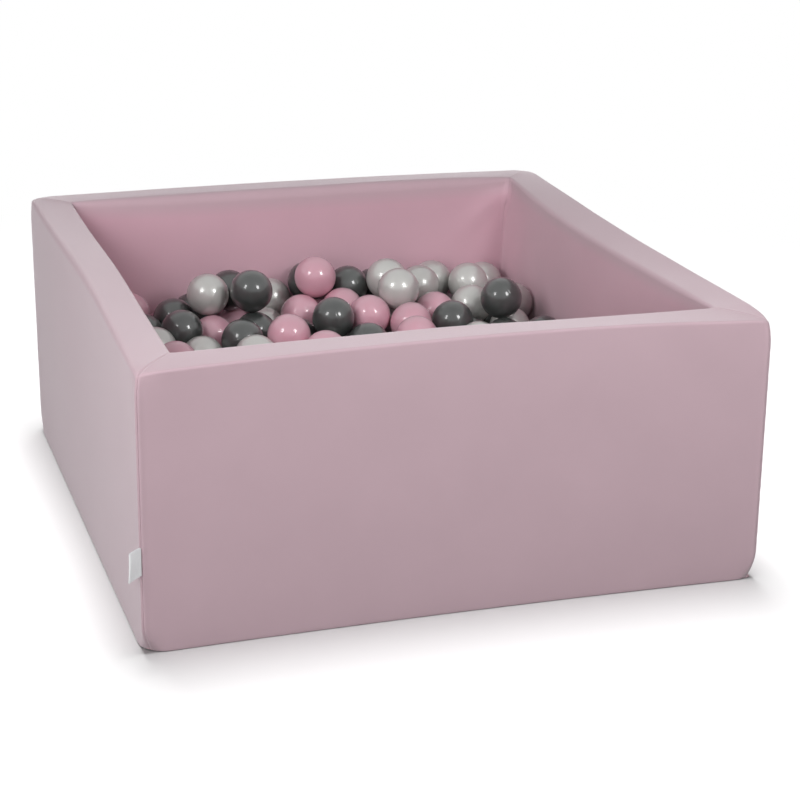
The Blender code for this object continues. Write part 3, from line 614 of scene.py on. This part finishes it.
# Loose lining at the right rear inner corner. A fold and a hollow under it run down from the rim on slopes
# along the back wall, and the side wall's cloth is drawn in.
slack_top = 0.008
slack_start = 0.012
slack_reach = 0.018
fold_slope = 0.78
fold_slope_length = 1.27
fold_width = 0.0200
fold_reach = 0.120
fold_height = 0.0078
hollow_gap = 0.040
hollow_slope = 1.10
hollow_slope_length = 1.49
hollow_middle = 0.012
hollow_width = 0.018
hollow_reach = 0.090
hollow_depth = 0.0005
drawn_in = 0.014
drawn_depth = 0.060
drawn_back_reach = 0.060
drawn_side_reach = 0.045


def corner_slack(x, y, z):
    """Points of the lining with the slack of the right rear inner corner."""
    from_side = half_well - x
    from_back = half_well - y
    below = pit_height - slack_top - z
    in_corner = (x > 0) * (y > 0)
    on_back = bump_at(from_back, 0, slack_reach) * in_corner * np.clip(below / slack_start, 0, 1)
    ridge = (below - fold_slope * from_side) / fold_slope_length
    fold = bump_at(ridge, 0, fold_width) * np.clip(1 - from_side / fold_reach, 0, 1)
    valley = (below - hollow_gap - hollow_slope * from_side) / hollow_slope_length
    hollow = bump_at(valley, hollow_middle, hollow_width) * np.clip(1 - from_side / hollow_reach, 0, 1)
    drawn = drawn_in * (1 - np.exp(-np.maximum(below, 0) / drawn_depth))
    near = bump_at(from_back, 0, drawn_back_reach) * bump_at(from_side, 0, drawn_side_reach) * in_corner
    return x - drawn * near, y - on_back * (fold_height * fold - hollow_depth * hollow), z


def clear_of_balls(points, centres):
    """Push the lining off the balls that lie against it."""
    room = ball_radius + fit_gap
    for centre in centres:
        apart = points - centre
        size = np.sqrt((apart**2).sum(1))
        touching = size < room
        points[touching] = centre + apart[touching] / size[touching, None] * room
    return points


# Room at the mitred ends, and where the lining's painted pink bounce light sets in.
end_ease = fit_gap / math.sqrt(2)
painted_bounce_from = 0.002
painted_bounce_blend = 0.020


def wall_piece(side, quarter, centres):
    """One padded wall: its jersey skin from foot to foot, closed round the foam."""
    path, seen = wall_section(rim_radius, rim_radius)
    share = wall_rows()
    steps = np.sqrt((np.diff(path, axis=0) ** 2).sum(1))
    run = np.concatenate([[0], np.cumsum(steps)])
    relief = wall_relief(side, share, path, run)
    relief[:, seen:] = 0
    path = np.stack([wall_section(outer, inner)[0] for outer, inner in zip(*rim_radii(side, share))])
    lead = np.roll(path, -1, 1) - np.roll(path, 1, 1)
    lead /= np.sqrt((lead**2).sum(2))[:, :, None]
    lead[:, 0] = (-1, 0)
    depth = path[:, :, 0] - lead[:, :, 1] * relief
    z = path[:, :, 1] + lead[:, :, 0] * relief
    along = share[:, None] * (half_side - depth - end_ease)
    x = along
    y = depth - half_side
    facing = (0, 1)
    for _ in range(quarter):
        x, y = -y, x
        facing = (-facing[1], facing[0])
    x, y = rounded(x, y, z)
    inward, upward = bend_wall(side, share[:, None], depth, z)
    x, y, z = shaped(x, y, z)
    x, y, z = corner_slack(x + facing[0] * inward, y + facing[1] * inward, z + upward)
    points = clear_of_balls(np.stack([x, y, z], 2).reshape(-1, 3), centres)
    points[:, 2] = np.maximum(points[:, 2], 0)
    rows, columns = depth.shape
    index = np.arange(rows * columns).reshape(rows, columns)
    after = np.roll(index, -1, 1)
    faces = np.stack([index[:-1], index[1:], after[1:], after[:-1]], 2).reshape(-1, 4).tolist()
    faces += [index[0].tolist(), index[-1].tolist()]
    uv = np.stack([along, np.broadcast_to(run, along.shape)], 2).reshape(-1, 2)
    # Share of the lining's pinker, brighter colour at each point: painted bounce light inside the well.
    inside = np.clip((run - pit_height - wall_thick - painted_bounce_from) / painted_bounce_blend, 0, 1)
    tones = np.broadcast_to(inside, along.shape).ravel().tolist()
    return piece("wall_" + side, points, faces, jersey_look, uv=uv, tones=tones)


# Balls. A fine one has a plug mark at one pole, as (distance from the pole, rise) of its rings, and a mould
# line round the middle, as (angle from the pole, rise).
plug_rings = (
    (0.0008, 0.00004), (0.0016, 0.00004), (0.0021, -0.00006), (0.0027, -0.00016),
    (0.0034, -0.00006), (0.0042, 0.0), (0.0056, 0.0),
)
plug_tip = 0.00003
mould_rings_deg = ((89.2, 0), (89.7, 0.00010), (90.3, 0.00010), (90.8, 0))
smooth_rings_deg = (14, 21, 28, 36, 44, 52, 60, 68, 76, 83, 87.8)
last_ring_deg = 173
ball_squeeze_share = 0.004


def ball_rings(fine):
    """Angles from the pole and rises of the rings of a ball, and the rise of its tip."""
    if not fine:
        return [(turn, 0) for turn in np.radians(np.linspace(0, 180, 9)[1:-1])], 0
    smooth = np.radians(smooth_rings_deg)
    rings = [(math.asin(step / ball_radius), rise) for step, rise in plug_rings]
    rings += [(turn, 0) for turn in smooth]
    rings += [(math.radians(turn), rise) for turn, rise in mould_rings_deg]
    rings += [(math.pi - turn, 0) for turn in smooth[::-1]]
    rings.append((math.radians(last_ring_deg), 0))
    return rings, plug_tip


def ball_template(around, fine):
    """Points and faces of one ball."""
    rings, tip = ball_rings(fine)
    angles = np.linspace(0, 2 * math.pi, around, endpoint=False)
    points = [(0, 0, ball_radius + tip)]
    for turn, rise in rings:
        radius = ball_radius + rise
        for angle in angles:
            ring = radius * math.sin(turn)
            points.append((ring * math.cos(angle), ring * math.sin(angle), radius * math.cos(turn)))
    points.append((0, 0, -ball_radius))
    faces = [(0, 1 + index, 1 + (index + 1) % around) for index in range(around)]
    faces += [(a, d, c, b) for a, b, c, d in ring_faces(len(rings), around, 1)]
    last = len(points) - 1
    start = last - around
    faces += [(last, start + (index + 1) % around, start + index) for index in range(around)]
    return np.array(points), faces


def random_turn():
    """A seeded rotation matrix."""
    parts = rng.normal(size=4)
    w, x, y, z = parts / np.sqrt((parts**2).sum())
    return np.array((
        (1 - 2 * (y * y + z * z), 2 * (x * y - z * w), 2 * (x * z + y * w)),
        (2 * (x * y + z * w), 1 - 2 * (x * x + z * z), 2 * (y * z - x * w)),
        (2 * (x * z - y * w), 2 * (y * z + x * w), 1 - 2 * (x * x + y * y)),
    ))


# Finding the bed's balls: how near middles agree, how many facets have to, and the least facet that counts.
vote_reach = 0.0012
least_votes = 9
least_facet = 1e-13


def bed_centres():
    """Middles of the balls in the bed: the corners of each of its facets lie on one ball."""
    mesh = frame["nodes"]["ball_bed"].data
    mesh.calc_loop_triangles()
    spots = np.array([vertex.co for vertex in mesh.vertices])
    facets = np.array([facet.vertices for facet in mesh.loop_triangles])
    start, second, third = (spots[facets[:, corner]] for corner in range(3))
    ab = second - start
    ac = third - start
    normal = np.cross(ab, ac)
    size = (normal**2).sum(1)
    keep = size > least_facet
    ab, ac, normal, size, start = ab[keep], ac[keep], normal[keep], size[keep], start[keep]
    ab_sq = (ab**2).sum(1)[:, None]
    ac_sq = (ac**2).sum(1)[:, None]
    to_middle = (ac_sq * np.cross(normal, ab) + ab_sq * np.cross(ac, normal)) / (2 * size[:, None])
    rest = ball_radius**2 - (to_middle**2).sum(1)
    good = rest > 0
    normal = normal[good] / np.sqrt(size[good])[:, None]
    votes = start[good] + to_middle[good] - normal * np.sqrt(rest[good])[:, None]
    centres = []
    while len(votes):
        near = ((votes - votes[0]) ** 2).sum(1) < vote_reach**2
        if near.sum() >= least_votes:
            centres.append(votes[near].mean(0))
        votes = votes[~near]
    return np.array(centres)


# Directions from which a ball may be seen, and the share of a ball's radius that hides what lies behind.
sight_heights_deg = (15, 30, 50, 72)
sight_turns_deg = range(0, 360, 30)
hiding_share = 0.8


def in_sight(centres, others):
    """Which balls can be seen from above the rim, past the other balls."""
    heights, turns = np.radians(sight_heights_deg)[:, None], np.radians(sight_turns_deg)
    looks = np.stack(np.broadcast_arrays(
        np.cos(heights) * np.cos(turns), np.cos(heights) * np.sin(turns), np.sin(heights)
    ), 2).reshape(-1, 3)
    seen = []
    for centre in centres:
        apart = others - centre
        away = (apart**2).sum(1)
        apart = apart[away > 0]
        away = away[away > 0]
        ahead = looks @ apart.T
        aside = np.sqrt(np.maximum(away[None] - ahead**2, 0))
        blocked = ((ahead > 0) & (aside < hiding_share * ball_radius)).any(1)
        seen.append(not blocked.all())
    return np.array(seen)


bodies = frame["record"]["behaviour"]["bodies"]
body_of_node = {node: body for body, nodes in bodies.items() for node in nodes}
loose_nodes = sorted(node for node in frame["nodes"] if node.startswith("ball_") and node != "ball_bed")
loose_centres = np.array([(low + high) / 2 for low, high in map(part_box, loose_nodes)])
bed = bed_centres()
all_centres = np.concatenate([bed, loose_centres])
print("balls:", len(bed), "in the bed,", len(loose_centres), "loose")

fine_ball = ball_template(40, True)
plain_ball = ball_template(16, False)

# A ball of the bed this near a listed place has its colour.
listed_reach = 0.020


def add_ball(store, template, centre):
    """One turned copy of a ball template in a store of points, faces and tones."""
    points, faces = template
    squeeze = 1 + rng.uniform(-ball_squeeze_share, 0.0, 3)
    turned = (points * squeeze) @ random_turn().T + centre
    shift = len(store["tones"])
    store["points"].append(turned)
    store["faces"] += [tuple(index + shift for index in face) for face in faces]
    store["tones"] += [rng.uniform()] * len(points)


def ball_object(name, store, colour):
    """One piece from stored balls."""
    points = np.concatenate(store["points"])
    return piece(name, points, store["faces"], ball_looks[colour], tones=store["tones"])


def make_balls():
    """The loose balls one by one, and the balls of the bed as one piece to a colour."""
    for node, centre in zip(loose_nodes, loose_centres):
        colour = node.split("_")[1]
        store = {"points": [], "faces": [], "tones": []}
        add_ball(store, fine_ball, centre)
        made = ball_object("play_" + node, store, colour)
        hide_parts(node)
        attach(made, body_of_node[node])
    listed = well_corner + well_size * np.concatenate(list(bed_ball_shares.values()))
    listed_colours = [colour for colour, rows in bed_ball_shares.items() for _ in rows]
    stores = {colour: {"points": [], "faces": [], "tones": []} for colour in ball_looks}
    for centre, visible in zip(bed, in_sight(bed, all_centres)):
        apart = np.sqrt(((listed - centre) ** 2).sum(1))
        pick = ("pink", "grey", "pearl")[int(rng.integers(3))]
        if apart.min() < listed_reach:
            pick = listed_colours[int(apart.argmin())]
        add_ball(stores[pick], fine_ball if visible else plain_ball, centre)
    for colour, store in stores.items():
        made = ball_object("bed_" + colour, store, colour)
        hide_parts("ball_bed")
        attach(made, "pit")


make_balls()


# Walls.
for quarter, side in enumerate(("front", "right", "back", "left")):
    wall = wall_piece(side, quarter, all_centres)
    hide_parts("cover_" + side, "foam_wall_" + side)
    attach(wall, "pit")


# Floor of the well and base.
def plate_faces(rows, columns, filled):
    """Top, bottom and side faces of a plate over the filled cells of a grid."""
    shift = rows * columns
    faces = []
    for i in range(rows - 1):
        for j in range(columns - 1):
            if not filled(i, j):
                continue
            a = i * columns + j
            b, c, d = a + columns, a + columns + 1, a + 1
            faces.append((a, d, c, b))
            faces.append((a + shift, b + shift, c + shift, d + shift))
            sides = ((i - 1, j, a, d), (i, j + 1, d, c), (i + 1, j, c, b), (i, j - 1, b, a))
            for next_i, next_j, p, q in sides:
                inside = 0 <= next_i < rows - 1 and 0 <= next_j < columns - 1
                if not (inside and filled(next_i, next_j)):
                    faces.append((p, q, q + shift, p + shift))
    return faces


def grid_lines(*parts):
    """Sorted lines of a grid from several rows of them, each line once."""
    return np.unique(np.round(np.concatenate(parts), 6))


def grid_plate(name, across, deep, low, high, look, filled):
    """A plate on a grid; low and high give its faces' heights for x and y arrays."""
    x, y = np.meshgrid(across, deep, indexing="ij")
    bottom = np.stack([x, y, low(x, y)], 2).reshape(-1, 3)
    top = np.stack([x, y, high(x, y)], 2).reshape(-1, 3)
    points = np.concatenate([bottom, top])
    faces = plate_faces(len(across), len(deep), filled)
    used = sorted({index for face in faces for index in face})
    renumber = {old: new for new, old in enumerate(used)}
    faces = [tuple(renumber[index] for index in face) for face in faces]
    points = points[used]
    return piece(name, points, faces, look, uv=points[:, :2], sharp_deg=50)


# Base panel: its slot for the zip, and where its close grid lines along the edges give way to wider ones.
slot_half = 0.370
slot_half_width = 0.014
slot_low = zip_line_y - slot_half_width
slot_high = zip_line_y + slot_half_width
base_thick = 0.0011
base_ease = 0.0004
base_half = half_side - foot_round - base_ease
edge_band_end = 0.40
wide_across = np.linspace(-0.33, 0.33, 23)
wide_deep = np.linspace(-0.37, 0.26, 22)

# Padded floor: hollow underneath over the zip's tunnel and over its tapes, rounded off at its edges.
pad_half = floor_half - fit_gap
pad_lines = np.linspace(-0.385, 0.385, 45)
tunnel_half = 0.0145
tape_half = 0.0250
hollow_lines = (-0.0247, -0.0141, 0.0141, 0.0247)
tunnel_top = 0.0092
over_tapes = 0.0027
over_base = 0.0016
pad_swell = (6, 0.10, 0.30, 0.0006)
pad_ease = 0.0002
pad_edge_drop = 0.004
pad_edge_reach = 0.006


def make_base():
    """The cloth of the underside, with its slot."""
    ends = np.linspace(-base_half, -edge_band_end, 9)
    beside_slot = np.linspace(-edge_band_end, -slot_half, 3)
    half_across = np.concatenate([ends, beside_slot, wide_across])
    across = grid_lines(half_across, -half_across)
    deep = grid_lines(ends, wide_deep, [slot_low, slot_high], -ends)

    def cloth(i, j):
        middle_x = (across[i] + across[i + 1]) / 2
        middle_y = (deep[j] + deep[j + 1]) / 2
        return not (abs(middle_x) < slot_half and slot_low < middle_y < slot_high)

    base = grid_plate(
        "base_panel", across, deep, lambda x, y: 0 * x, lambda x, y: 0 * x + base_thick, base_look, cloth
    )
    spots = np.array([vertex.co for vertex in base.data.vertices])
    moved = np.stack(shaped(spots[:, 0], spots[:, 1], spots[:, 2]), 1)
    for vertex, place in zip(base.data.vertices, moved):
        vertex.co = place
    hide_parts("base_cover")
    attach(base, "pit")


def make_pad():
    """The padded floor of the well."""
    lines = grid_lines([-pad_half, pad_half], pad_lines)
    deep_lines = grid_lines(lines, [zip_line_y + offset for offset in hollow_lines])
    swell = waves(lines[:, None], deep_lines[None], *pad_swell)

    def under(x, y):
        aside = abs(y - zip_line_y)
        return np.where(aside < tunnel_half, tunnel_top, np.where(aside < tape_half, over_tapes, over_base))

    def over(x, y):
        rim = np.minimum(floor_half - abs(x), floor_half - abs(y))
        return floor_top - pad_ease - pad_edge_drop * np.exp(-rim / pad_edge_reach) - abs(swell)

    pad = grid_plate("floor_pad", lines, deep_lines, under, over, jersey_look, lambda i, j: True)
    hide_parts("floor_cover", "floor_foam")
    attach(pad, "pit")


make_base()
make_pad()


# Zip. Rings of a tooth are (distance from the zip's line, swell). Lines along a tape's underside are
# (distance from the zip's line, how much further out the upper side's line is, height).
coil_length = 0.704
tooth_pitch = 0.0016
tooth_half_width = 0.00032
tooth_half_height = 0.0011
tooth_middle = 0.0066
tooth_sides = 6
tooth_rings = ((0.0030, 0.8), (0.0024, 1.0), (-0.0001, 1.0), (-0.0005, 1.35), (-0.0009, 0.9))
tape_end = 0.368
tape_stations = 61
tape_level = 0.0078
tape_foot = 0.0015
tape_thick = 0.0008
tape_turn = 0.0004
tape_lines = (
    (0.00025, 0, tape_level), (0.0040, 0, tape_level), (0.0085, tape_turn, tape_level - 0.0001),
    (0.0107, tape_turn, (tape_level + tape_foot) / 2), (0.0128, tape_turn, tape_foot),
    (0.0184, 0, tape_foot), (0.0240, 0, tape_foot),
)


def make_tape(name, side):
    """One woven tape of the zip, from its coil down to the base."""
    section = [(across, level) for across, _, level in tape_lines]
    section += [(across + turn, level + tape_thick) for across, turn, level in reversed(tape_lines)]
    stations = np.linspace(-tape_end, tape_end, tape_stations)
    points = [(along, zip_line_y + side * across, level) for along in stations for across, level in section]
    count = len(section)
    faces = [tuple(range(count)), tuple(range(len(points) - count, len(points)))]
    faces += ring_faces(tape_stations, count)
    return piece("zip_tape_cloth_" + name, points, faces, tape_look, sharp_deg=50)


def make_coil(name, side):
    """One row of nylon teeth, half a pitch from the other row's."""
    points = []
    faces = []
    turns = np.arange(tooth_sides) * math.pi / 3
    ring = [(tooth_half_width * math.cos(turn), tooth_half_height * math.sin(turn)) for turn in turns]
    rows = len(tooth_rings)
    for tooth in range(int(coil_length / tooth_pitch)):
        middle = -coil_length / 2 + (tooth + (0.25 if side > 0 else 0.75)) * tooth_pitch
        shift = len(points)
        for across, swell in tooth_rings:
            points += [(middle + a * swell, zip_line_y + side * across, tooth_middle + b) for a, b in ring]
        faces += ring_faces(rows, tooth_sides, shift)
        for start in (shift, shift + (rows - 1) * tooth_sides):
            faces.append(tuple(range(start, start + tooth_sides)))
    return piece("zip_coil_" + name, points, faces, coil_look)


def make_zip():
    """The zip's two sides, and the metal of its slider, pull and stops."""
    for name, side in (("front", -1), ("rear", 1)):
        for part in (make_tape(name, side), make_coil(name, side)):
            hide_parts("zip_tape_" + name)
            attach(part, "pit")
    for node in ("zip_slider", "zip_pull", "zip_stop_left", "zip_stop_right"):
        mesh = frame["nodes"][node].data
        mesh.materials.clear()
        mesh.materials.append(metal_look)


make_zip()


# Label in the front left corner seam. It hangs and sways more towards its fold, and fans out upward.
label_start = 0.0012
label_reach = 0.0210
label_fold = 0.0013
label_thick = 0.00035
label_foot = 0.118
label_tall = 0.040
label_turn = math.pi * 1.14
label_hang = 0.0048
label_sway = 0.0012
sway_turn = 2.6
sway_start = 0.6
foot_length_share = 1.06
top_loss_share = 0.14
fan_share = 0.5


def make_label():
    """A bare folded satin strip, its fold hanging a little."""
    out = Vector((math.cos(label_turn), math.sin(label_turn)))
    aside = Vector((-out.y, out.x))
    corner = np.full(1, -half_side), np.full(1, -half_side), np.full(1, label_foot + label_tall / 2)
    x, y, _ = shaped(*rounded(*corner), corner[2])
    seam = Vector((x[0], y[0]))
    straight = np.linspace(label_start, label_reach - label_fold, 10)
    turns = np.linspace(-math.pi / 2, math.pi / 2, 9)
    rings = []
    for radius in (label_fold, label_fold - label_thick):
        ring = [(a, -radius) for a in straight[:-1]]
        ring += [(straight[-1] + radius * math.cos(turn), radius * math.sin(turn)) for turn in turns]
        ring += [(a, radius) for a in straight[-2::-1]]
        rings.append(ring)
    section = rings[0] + rings[1][::-1]
    levels = np.linspace(0, label_tall, 25)
    points = []
    for level in levels:
        up = level / label_tall
        for a, b in section:
            share = a / label_reach
            hang = label_hang * share**1.5
            sway = label_sway * math.sin(up * sway_turn + sway_start) * share**2
            along = a * (foot_length_share - top_loss_share * up)
            spot = out * along + aside * (b * (1 + fan_share * share * up) + sway)
            points.append((spot.x + seam.x, spot.y + seam.y, label_foot + level - hang))
    count = len(section)
    faces = ring_faces(len(levels), count)
    for start in (0, (len(levels) - 1) * count):
        for index in range(len(rings[0]) - 1):
            other = count - 1 - index
            faces.append((start + index, start + index + 1, start + other - 1, start + other))
    made = piece("seam_label", points, faces, label_look, sharp_deg=50)
    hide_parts("side_label")
    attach(made, "pit")


make_label()


# Floor and world. The floor is paler to the camera than to other rays, and turns white away from the pit.
ambient = 0.15
floor_reach = 9.0
floor_shares = (0.22, 0.82)
floor_glow = 0.05
white_from = 1.0
white_to = 1.9


def background_share(owner):
    """1 for camera, glossy and transmission rays, else 0."""
    path = add(owner, "ShaderNodeLightPath").outputs
    first = sums(owner, "MAXIMUM", path["Is Camera Ray"], path["Is Glossy Ray"])
    return sums(owner, "MAXIMUM", first, path["Is Transmission Ray"])


def make_world():
    """A soft even light, and white where the camera or a reflection looks past the floor."""
    world = bpy.data.worlds.new("studio")
    world.use_nodes = True
    light = world.node_tree.nodes["Background"]
    feed(world, light, {"Color": (1, 1, 1, 1), "Strength": ambient})
    white = add(world, "ShaderNodeBackground", {"Color": (1, 1, 1, 1), "Strength": 1})
    parts = {0: background_share(world), 1: light.outputs[0], 2: white.outputs[0]}
    mix = add(world, "ShaderNodeMixShader", parts)
    feed(world, world.node_tree.nodes["World Output"], {"Surface": mix.outputs[0]})
    bpy.context.scene.world = world


def make_floor():
    """A pale floor that keeps the pit's shadow."""
    mesh = bpy.data.meshes.new("floor")
    corners = [(floor_reach * a, floor_reach * b, 0) for a, b in ((-1, -1), (1, -1), (1, 1), (-1, 1))]
    mesh.from_pydata(corners, [], [(0, 1, 2, 3)])
    made = bpy.data.objects.new("floor", mesh)
    bpy.context.scene.collection.objects.link(made)
    look, shader, place = new_material("floor")
    share = background_share(look)
    dark, pale = ((part,) * 3 for part in floor_shares)
    feed(look, shader, {
        "Base Color": blend_colours(look, share, dark, pale),
        "Roughness": 1,
        "Specular IOR Level": 0,
        "Emission Color": (1, 1, 1, 1),
        "Emission Strength": sums(look, "MULTIPLY", share, floor_glow),
    })
    white = add(look, "ShaderNodeEmission")
    away = add(look, "ShaderNodeVectorMath", {0: place}, operation="LENGTH").outputs["Value"]
    ends = {0: away, 1: white_from, 2: white_to}
    far = add(look, "ShaderNodeMapRange", ends, interpolation_type="SMOOTHSTEP").outputs[0]
    parts = {0: sums(look, "MULTIPLY", far, share), 1: shader.outputs[0], 2: white.outputs[0]}
    mix = add(look, "ShaderNodeMixShader", parts)
    feed(look, look.node_tree.nodes["Material Output"], {"Surface": mix.outputs[0]})
    mesh.materials.append(look)
    return made


# Lamps. Each box's direction from the pit is given by camera right, up and back. Then come its distance,
# its size, its power and whether reflections show it. None of them lights the floor.
object_lamps = {
    "key_left": ((-0.54, 0.41, 0.73), 2.0, (0.42, 0.62), 8.0, True),
    "key_right": ((0.57, 0.39, 0.72), 2.0, (0.42, 0.62), 12.6, True),
    "fill": ((-0.35, 0.10, 0.93), 3.0, (1.6, 1.6), 35, False),
    "rear_right": ((0.75, 0.42, -0.60), 3.0, (1.6, 0.9), 22, False),
    "rear_left": ((-0.25, 0.50, -0.85), 3.0, (1.6, 0.9), 19, False),
}
lamp_aim = Vector((0, 0, pit_height / 2))

# A wide box right above lights the floor alone, so that the pit throws a short soft shadow.
floor_lamp_place = (-0.1, 0.9, 12)
floor_lamp_size = (3.5, 6.7)
floor_lamp_power = 1750


def floor_group(name, state):
    """A collection for light linking that takes in the floor or leaves it out."""
    made = bpy.data.collections.new(name)
    made.objects.link(floor)
    for entry in made.collection_objects:
        entry.light_linking.link_state = state
    return made


def area_lamp(name, size, power, lit):
    """A soft box that lights a group."""
    data = bpy.data.lights.new(name, "AREA")
    data.shape = "RECTANGLE"
    data.size, data.size_y = size
    data.energy = power
    lamp = bpy.data.objects.new(name, data)
    bpy.context.scene.collection.objects.link(lamp)
    lamp.light_linking.receiver_collection = lit
    return lamp


def make_lamps():
    """The floor's lamp and the object's."""
    lamp = area_lamp("floor_box", floor_lamp_size, floor_lamp_power, floor_group("only_floor", "INCLUDE"))
    lamp.location = floor_lamp_place
    off_floor = floor_group("off_floor", "EXCLUDE")
    right, up, ahead = camera_axes()
    for name, (direction, distance, size, power, mirrored) in object_lamps.items():
        toward = (right * direction[0] + up * direction[1] - ahead * direction[2]).normalized()
        lamp = area_lamp(name, size, power, off_floor)
        lamp.location = lamp_aim + toward * distance
        lamp.rotation_euler = toward.to_track_quat("Z", "Y").to_euler()
        lamp.visible_glossy = mirrored


make_world()
floor = make_floor()
make_lamps()

bpy.context.scene.view_settings.view_transform = "Standard"
